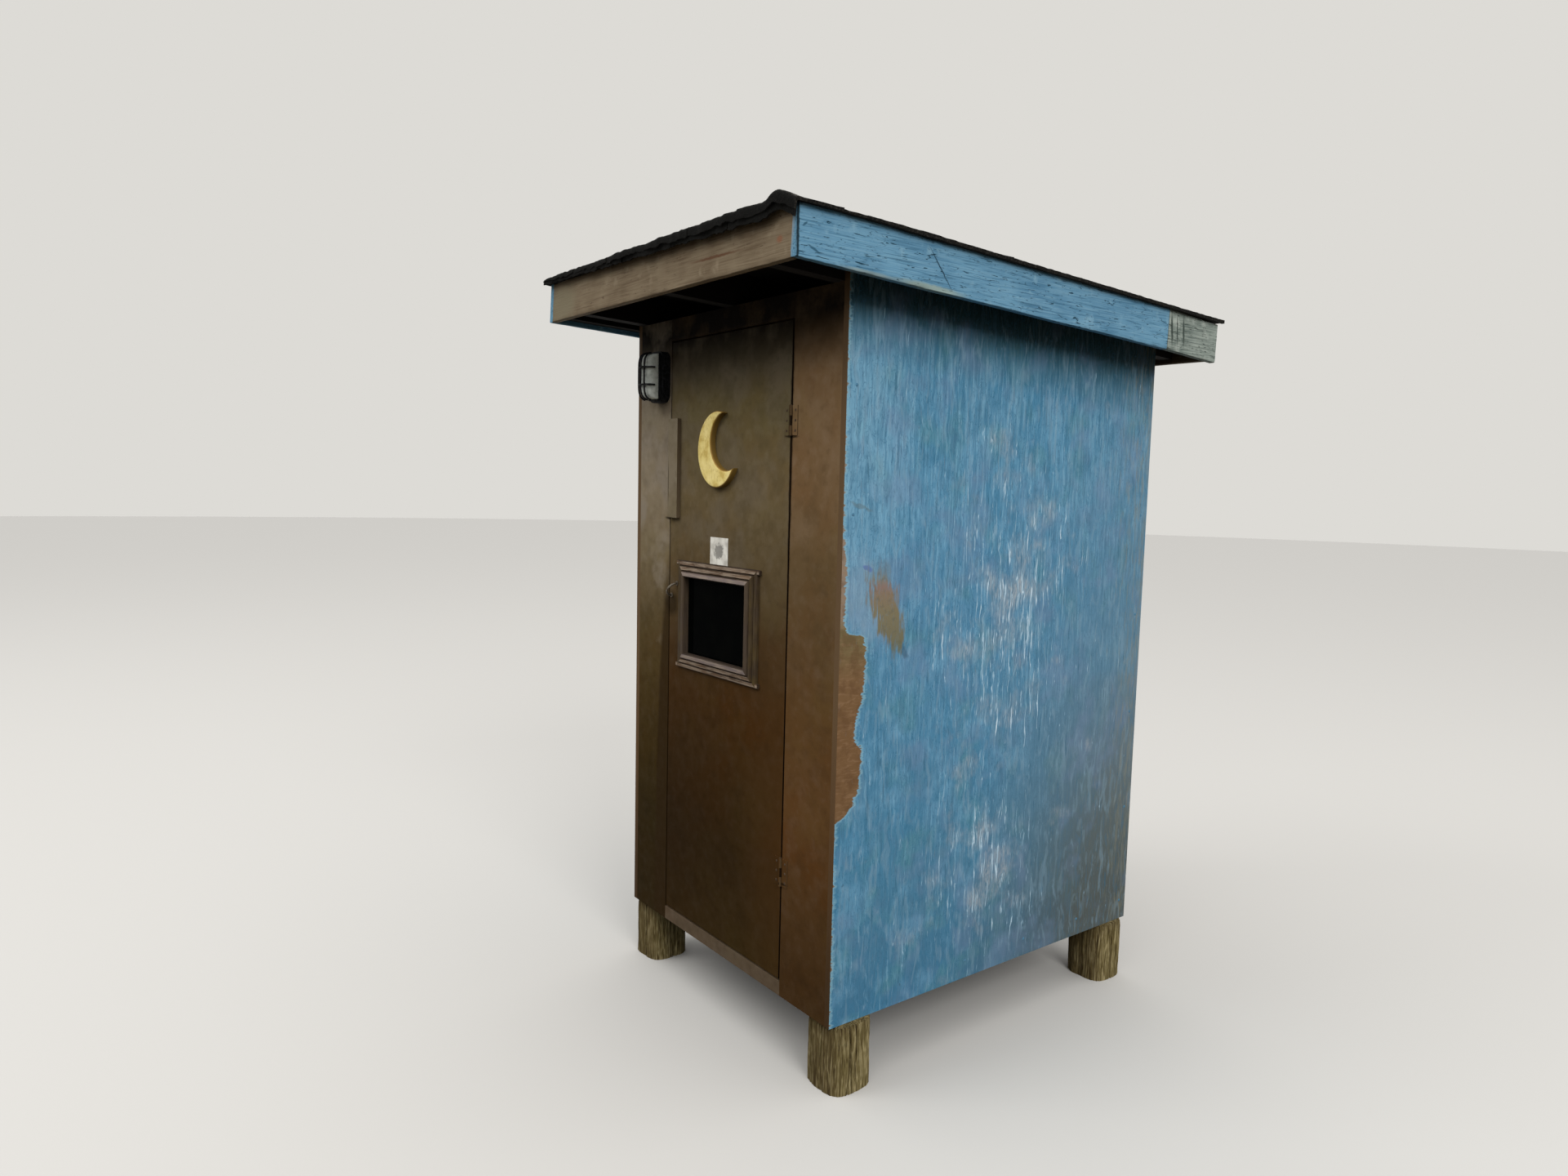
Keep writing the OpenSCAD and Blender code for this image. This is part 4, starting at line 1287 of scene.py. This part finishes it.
@dataclass
class Door:
    """Door leaf with its ledges, cover strip, pull and the sheet of paper on it."""

    notice_x: tuple[float, float] = (-0.076, 0.013)
    notice_z: tuple[float, float] = (1.300, 1.377)

    def build(self) -> None:
        """Dresses the leaf's solids and pins the bare notice to it."""
        face_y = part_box("door_panel")[0].y
        # The door's tones end near black under the roof as painted shade and darken low down, partly from
        # damp and partly as painted shade; its right edge, in the gap by the post, is near black as painted
        # shade
        panel = BrownSheetPaint("brown_latex_paint_on_door", (0, 1, 0), (
            (0.28, "#33250f"), (0.49, "#2f200c"), (0.69, "#372610"), (0.9, "#3e2911"), (1.1, "#463520"),
            (1.3, "#574932"), (1.51, "#64563c"), (1.75, "#605539"), (1.84, "#4e4636"), (1.935, "#15110c")),
            "#625848", 0.6, ((1.0, "#3a2d1e"), (1.0, "#1a120b")),
            HINGE_SHADOWS + front_marks(face_y, (-0.30, 0.45, 0.50, 0.70, 1.0, 0.6, "#1e1408"),
                                      (0.30, 0.60, 0.22, 0.60, 1.0, 0.5, "#4a3219"), deep=0.3)
            + front_marks(face_y, PULL_STAIN))
        # The strip's marks are the painted shadow under its foot and painted shade down its left edge
        strip = BrownSheetPaint("brown_latex_paint_on_cover_strip", (0, 1, 0), (
            (1.42, "#6b5f4a"), (1.51, "#756953"), (1.72, "#71664f")),
            "#7d7363", 0.6, ((1.0, "#3a2f22"), (1.0, "#5a4d3b")),
            front_marks(face_y, STRIP_SHADOW, (-0.294, 1.53, 0.004, 0.08, 0.6, 0.6, "#2a2116")), 1.4, 1.75)
        steel = PlainFinish("weathered_zinc_plated_steel", ("#6f6a60", "#4b3b2b"), (0.35, 0.75), 9.0, 0.1,
                            (("Metallic", 0.9),))
        dress(panel.build(), "door_panel", "hinge_door_leaves")
        dress(strip.build(), "door_strip")
        dress(SawnTimber("sawn_softwood_ledge", Axis.X).build(), "door_ledges")
        dress(steel.build(), "door_pull")
        self.notice(face_y)

    def notice(self, face_y: float) -> None:
        """Bare sheet of paper: a thin slab that bows off the door between its top and bottom edges.

        Args:
            face_y: Where the door's face is.
        """
        x, z = np.meshgrid(np.linspace(*self.notice_x, 22), np.linspace(*self.notice_z, 18))
        y = face_y - 0.6 * MM - 1.2 * MM * value_noise(x * 22, z * 26, 3) ** 2
        under = grid(x, y, z)
        under[[0, -1], :, 1] = face_y - 0.05 * MM
        paper = FadedNotice((sum(self.notice_x) / 2, face_y, sum(self.notice_z) / 2)).build()
        build_piece("paper_notice", [slab(grid(x, y - 0.3 * MM, z), under)], paper, Body.DOOR)


@dataclass
class Window:
    """Little window of the door: mitred moulding, pane and the frame behind it."""

    ear: float = 0.008
    ear_root: float = 0.004
    ear_share: float = 0.45
    ledge: float = 0.013
    ledge_round: float = 0.003

    def ear_part(self, side: int, up: int) -> Part:
        """One end of a rail's outer ridge that stands past the stile: its rounded section carried along X.

        Args:
            side: -1 for the left end, 1 for the right end.
            up: -1 for the lower rail, 1 for the upper one.

        Returns:
            The closed skin.
        """
        low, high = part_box("window_rails")
        depth = self.ear_share * (high.y - low.y)
        outline = rounded_rectangle(depth, self.ledge, self.ledge_round, 3)
        x = (high if side > 0 else low).x + side * np.linspace(-self.ear_root, self.ear, 6)
        y = high.y - depth / 2 + 0.1 * MM + outline[:, 0]
        z = (high if up > 0 else low).z - up * (self.ledge / 2 + 0.3 * MM) + outline[:, 1]
        return tube(grid(x[:, None], y, z))

    def build(self) -> None:
        """Dresses the window's solids and adds the ends of the rails."""
        rails = WindowTrimPaint("rubbed_paint_on_pine_rails", Axis.X, ("#4b3b2e", "#695442"), 0.65, 0.9,
                                (1.1425, 0.127, 0.45, "#8b8284")).build()
        stiles = WindowTrimPaint("brown_paint_on_pine_stiles", Axis.Z, ("#352a1e", "#44371f"), 0.06, 0.25,
                                 (-0.035, 0.172, 0.5, "#4a3f38"))
        clear = (("Transmission Weight", 0.3), ("IOR", 1.06), ("Specular IOR Level", 0.03))
        # The glass is near black: painted shade of the dark room behind it
        glass = PlainFinish("dusty_window_glass_with_painted_shade", ("#030404", "#060706"), (0.04, 0.12), 60.0, 0.02, clear)
        back = PaintedBoard("brown_paint_on_inner_frame", Axis.X, ("#3a2c1d", "#4b3b2a"), "#20170e",
                            "#65543f")
        dress(rails, "window_rails")
        for finish, node in ((stiles, "stiles"), (glass, "pane"), (back, "inner_frame")):
            dress(finish.build(), f"window_{node}")
        ears = [self.ear_part(side, up) for side in (-1, 1) for up in (-1, 1)]
        build_piece("moulding_ends", ears, rails, Body.DOOR)


@dataclass
class Hardware:
    """Hinges with their screws, and nail heads along the edges of the side sheets."""

    screw_r: float = 0.0035
    screw_edge: float = 8 * MM
    screw_ends: tuple[float, ...] = (12.0, 37.5, 63.0)
    nail_r: float = 0.0042
    nail_edge: float = 0.03
    nail_top: float = 1.9
    nail_up: float = 0.305
    nail_along: float = 0.245
    nail_first: float = 0.24
    nail_last: float = 0.1
    nail_foot: float = 0.05
    lap_y: float = 0.04
    lap_z: float = 0.94
    lap_half: float = 0.24

    def heads(self, places: np.ndarray, outward: Point, radius: float, proud: float) -> list[Part]:
        """Round heads as low domes: rings that rise from under the surface while their radius falls.

        Args:
            places: Centres on the surface, one row each.
            outward: Unit normal of the surface.
            radius: Radius of a head.
            proud: Height of its middle.

        Returns:
            One closed part for each head.
        """
        normal = np.array(outward, dtype=float)
        first = np.array([0, 0, 1.0])
        second = np.cross(normal, first)
        share = np.array([1.0, 1.0, 0.85, 0.5, 0.12])[:, None, None]
        height = np.array([-0.6, 0.25, 0.6, 0.92, 1.0])[:, None, None] * proud
        turn = np.linspace(0, ROUND, 16, endpoint=False)[None, :, None]
        disc = radius * share * (np.cos(turn) * first + np.sin(turn) * second) + height * normal
        return [tube(place + disc) for place in places]

    def screws(self) -> None:
        """Screws down each leaf of the two hinges, at the same distances from its ends."""
        paint = PlainFinish("painted_screw_head", ("#3b2f24", "#57483a"), (0.4, 0.7), 4.0, 0.1).build()
        ends = np.array(self.screw_ends) * MM
        for node, body in (("hinge_door_leaves", Body.DOOR), ("hinge_post_leaves", Body.CABIN)):
            low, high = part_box(node)
            x = low.x + self.screw_edge if body is Body.DOOR else high.x - self.screw_edge
            places = grid(x, high.y - 2 * MM, np.concatenate([low.z + ends, high.z - ends]))
            parts = self.heads(places, (0, -1, 0), self.screw_r, 1.0 * MM)
            build_piece(f"{node}_screws", parts, paint, body)

    def nails(self) -> None:
        """Nail heads, painted over, up the front and back edge and along the foot of each side sheet."""
        low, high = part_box("wall_right")
        paint = PlainFinish("painted_nail_head", ("#4f7d98", "#3f5f72"), (0.5, 0.7), 5.0, 0.1).build()
        up = np.arange(low.z + 2 * self.nail_edge, self.nail_top, self.nail_up)
        along = np.arange(low.y + self.nail_first, high.y - self.nail_last, self.nail_along)
        edges = (low.y + self.nail_edge, high.y - self.nail_edge)
        spots = np.concatenate([*(grid(y, up) for y in edges), grid(along, low.z + self.nail_foot)])
        # The brown lap on the right sheet has covered the two nails behind it
        bare = (spots[:, 0] > low.y + self.lap_y) | (np.abs(spots[:, 1] - self.lap_z) > self.lap_half)
        for name, side, seen in (("nails_right", 1, spots[bare]), ("nails_left", -1, spots)):
            places = grid(side * high.x, seen[:, 0], seen[:, 1])
            parts = self.heads(places, (side, 0, 0), self.nail_r, 0.7 * MM)
            build_piece(name, parts, paint, Body.CABIN)

    def build(self) -> None:
        """Dresses the pins and makes the screws and nails. The leaves have the paint of what they are on."""
        pins = PlainFinish("painted_steel_hinge_pin", ("#33281d", "#4a3b2b"), (0.5, 0.7), 8.0, 0.15)
        dress(pins.build(), "hinge_pins")
        self.screws()
        self.nails()


@dataclass
class Lamp:
    """Caged bulkhead lamp: cast base, ribbed glass and a guard of bent rod."""

    rim: float = 0.009
    glass_depth: float = 0.034
    glass_wall: float = 0.003
    rod: float = 0.0026
    clear: float = 2.2 * MM
    proud: float = 6.5 * MM
    hoop: float = 1 / 2.6
    ribs_mm: float = 7.0

    def dome(self, x: Any, z: Any, half_w: float, half_h: float, depth: float) -> np.ndarray:
        """Height of a soft oblong dome: depth (1 - |x/a|^2.6)^(1/2.2) (1 - |z/b|^5)^(1/3).

        Args:
            x: Places across it.
            z: Places along its height.
            half_w: The half width a.
            half_h: The half height b.
            depth: Height of its middle.

        Returns:
            Heights at the places.
        """
        across = np.clip(1 - np.abs(x / half_w) ** 2.6, 0, 1) ** (1 / 2.2)
        upright = np.clip(1 - np.abs(z / half_h) ** 5, 0, 1) ** (1 / 3)
        return depth * across * upright

    def glass_part(self, centre: np.ndarray, half_w: float, half_h: float) -> Part:
        """Shell of the glass: the dome with upright ribs outside, and a smooth smaller dome inside.

        Args:
            centre: Middle of its foot.
            half_w: Half its width.
            half_h: Half its height.

        Returns:
            The closed shell.
        """
        u, v = np.meshgrid(*(np.sin(np.linspace(-QUARTER, QUARTER, count)) for count in (61, 49)))
        x, z = u * half_w, v * half_h
        ribs = 0.5 * MM * np.cos(ROUND * x / (self.ribs_mm * MM)) * (1 - u**2)
        outer = grid(x, -self.dome(x, z, half_w, half_h, self.glass_depth) - ribs, z)
        half_w, half_h, depth = (size - self.glass_wall for size in (half_w, half_h, self.glass_depth))
        x, z = u * half_w, v * half_h
        return slab(outer + centre, grid(x, -self.dome(x, z, half_w, half_h, depth), z) + centre)

    def bar(self, path: np.ndarray, side: np.ndarray) -> Part:
        """Round rod carried along a flat path.

        Args:
            path: Points of its middle line.
            side: Unit normal of the path's plane.

        Returns:
            The closed skin.
        """
        along = np.gradient(path, axis=0)
        along /= np.linalg.norm(along, axis=1, keepdims=True)
        other = np.cross(along, side)
        turn = np.linspace(0, ROUND, 12, endpoint=False)[None, :, None]
        return tube(path[:, None, :] + self.rod * (np.cos(turn) * side + np.sin(turn) * other[:, None, :]))

    def guard_parts(self, centre: np.ndarray, half_w: float, half_h: float) -> list[Part]:
        """Bars over the glass, which follow a dome a little larger than its own: two across, three along.

        Args:
            centre: Middle of the glass's foot.
            half_w: Half the glass's width.
            half_h: Half its height.

        Returns:
            One closed part for each bar.
        """
        wide, tall, depth = half_w + self.clear, half_h + self.clear, self.glass_depth + self.proud
        swing = np.sin(np.linspace(-QUARTER, QUARTER, 33))
        x, z = wide * swing, tall * swing
        upright, level = np.array([0, 0, 1.0]), np.array([1.0, 0, 0])
        return ([self.bar(grid(x, -self.dome(x, z0, wide + MM, tall, depth), z0) + centre, upright)
                 for z0 in (-half_h * self.hoop, half_h * self.hoop)]
                + [self.bar(grid(x0, -self.dome(x0, z, wide, tall + MM, depth), z) + centre, level)
                   for x0 in (-half_w / 2, 0.0, half_w / 2)])

    def build(self) -> None:
        """Makes the glass and the guard, and dresses the base."""
        low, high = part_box("lamp_base")
        black = PlainFinish("black_enamelled_cast_aluminium", ("#121314", "#26272a"), (0.4, 0.65), 7.0, 0.2)
        glass = PlainFinish("pressed_lamp_glass", ("#e8ede6", "#c6ccc4"), (0.08, 0.25), 14.0, 0.1,
                            (("Transmission Weight", 0.25), ("IOR", 1.5)))
        enamel = black.build()
        dress(enamel, "lamp_base")
        centre = np.array([(low.x + high.x) / 2, low.y, (low.z + high.z) / 2])
        sizes = centre, (high.x - low.x) / 2 - self.rim, (high.z - low.z) / 2 - self.rim
        build_piece("lamp_glass_dome", [self.glass_part(*sizes)], glass.build(), Body.CABIN,
                    ("lamp_glass",))
        build_piece("lamp_guard", self.guard_parts(*sizes), enamel, Body.CABIN,
                    ("lamp_cage",), 60.0)


# Studio


@dataclass(frozen=True)
class PhotoCamera:
    """Camera at the place the photograph was taken from, turned to the building and with a longer lens."""

    eye: Point = (2.357, -2.131, 1.520)
    yaw: float = math.radians(53.0)
    pitch: float = math.radians(-5.6)
    roll: float = math.radians(1.32)
    lens: float = 23.5

    def build(self) -> None:
        """Sets the camera from its yaw to the left of +Y, its pitch and its roll."""
        level = math.cos(self.pitch)
        forward = Vector((-math.sin(self.yaw) * level, math.cos(self.yaw) * level, math.sin(self.pitch)))
        right = forward.cross(Vector((0, 0, 1))).normalized()
        up = right.cross(forward)
        cos, sin = math.cos(self.roll), math.sin(self.roll)
        turned = Matrix((right * cos + up * sin, up * cos - right * sin, -forward)).transposed().to_4x4()
        camera = bpy.data.objects.new("photo_camera", bpy.data.cameras.new("photo_camera"))
        camera.data.lens = self.lens
        camera.matrix_world = Matrix.Translation(Vector(self.eye)) @ turned
        bpy.context.scene.collection.objects.link(camera)
        bpy.context.scene.camera = camera


@dataclass(frozen=True)
class Studio:
    """Pale floor, sky light that is strongest from above, and a large soft lamp before each seen side."""

    backdrop: str = "#dddbd6"
    floor_shown: str = "#adaba7"
    floor_lighting: str = "#403c35"
    floor_radius: float = 40.0
    horizon: float = 0.27
    zenith: float = 2.1
    lamps: tuple[tuple[Point, float], ...] = (((0.95, -0.25, 0.60), 800.0), ((-0.35, -0.85, 0.80), 420.0))
    lamp_away: float = 12.0
    lamp_size: float = 5.0

    def seen_directly(self, r: Shading) -> Any:
        """Share that is 1 for what is seen, also in a mirror or through glass, and 0 for rays that light.

        Args:
            r: The tree that it is part of.

        Returns:
            Socket of the share.
        """
        share = None
        for name in ("Is Camera Ray", "Is Glossy Ray", "Is Transmission Ray"):
            ray = r.add("LightPath", out=name)
            share = ray if share is None else r.add("Math MAXIMUM", (share, ray))
        return share

    def sky(self) -> None:
        """Makes the world: plain backdrop where it is seen, and light that grows from horizon to zenith."""
        world = bpy.context.scene.world or bpy.data.worlds.new("soft_sky")
        bpy.context.scene.world = world
        world.use_nodes = True
        sky = Shading(world.node_tree)
        up = sky.add("SeparateXYZ", (sky.add("TexCoord", out="Generated"),), Axis.Z.value)
        strength = sky.add("MapRange", (up, 0.0, 1.0, self.horizon, self.zenith))
        plain = sky.add("Background", ("#ffffff", strength))
        shown = sky.add("Background", (self.backdrop, 1.0))
        sky.add("OutputWorld", (sky.add("MixShader", (self.seen_directly(sky), plain, shown)),))

    def floor(self) -> None:
        """Makes the floor: a wide disc that is darker as a source of light than it looks."""
        r = Recipe("pale_floor")
        tones = {0: self.seen_directly(r), 6: self.floor_lighting, 7: self.floor_shown}
        colour = r.add("Mix", tones, 2, data_type="RGBA")
        r.add("OutputMaterial", (r.add("BsdfDiffuse", (colour,)),))
        turn = np.linspace(0, ROUND, 64, endpoint=False)
        rim = self.floor_radius * grid(np.cos(turn), np.sin(turn), 0)
        mesh = bpy.data.meshes.new("floor_sheet")
        mesh.from_pydata(rim.tolist(), [], [list(range(len(rim)))])
        mesh.materials.append(r.material)
        floor = bpy.data.objects.new("studio_floor", mesh)
        bpy.context.scene.collection.objects.link(floor)

    def build(self) -> None:
        """Makes the world, the floor and the lamps, which look at the middle of the building."""
        bpy.context.scene.view_settings.view_transform = "Standard"
        self.sky()
        self.floor()
        for k, (place, watts) in enumerate(self.lamps):
            direction = Vector(place).normalized()
            light = bpy.data.lights.new(f"soft_lamp_{k}", "AREA")
            light.energy, light.size = watts, self.lamp_size
            lamp = bpy.data.objects.new(f"soft_lamp_{k}", light)
            lamp.matrix_world = (Matrix.Translation(Vector((0, 0, 1)) + direction * self.lamp_away)
                                 @ direction.to_track_quat("Z", "Y").to_matrix().to_4x4())
            bpy.context.scene.collection.objects.link(lamp)


def main() -> None:
    """Builds the studio, then each sub-assembly in order."""
    logging.basicConfig(level=logging.INFO, format="%(name)s: %(message)s")
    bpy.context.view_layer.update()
    roof = RoofPlane()
    for assembly in (PhotoCamera(), Studio(), Cabin(), Piers(), Fascias(roof), Shingles(roof), Door(), Moon(),
                     Window(), Hardware(), Lamp()):
        assembly.build()


if __name__ == "__main__":
    main()
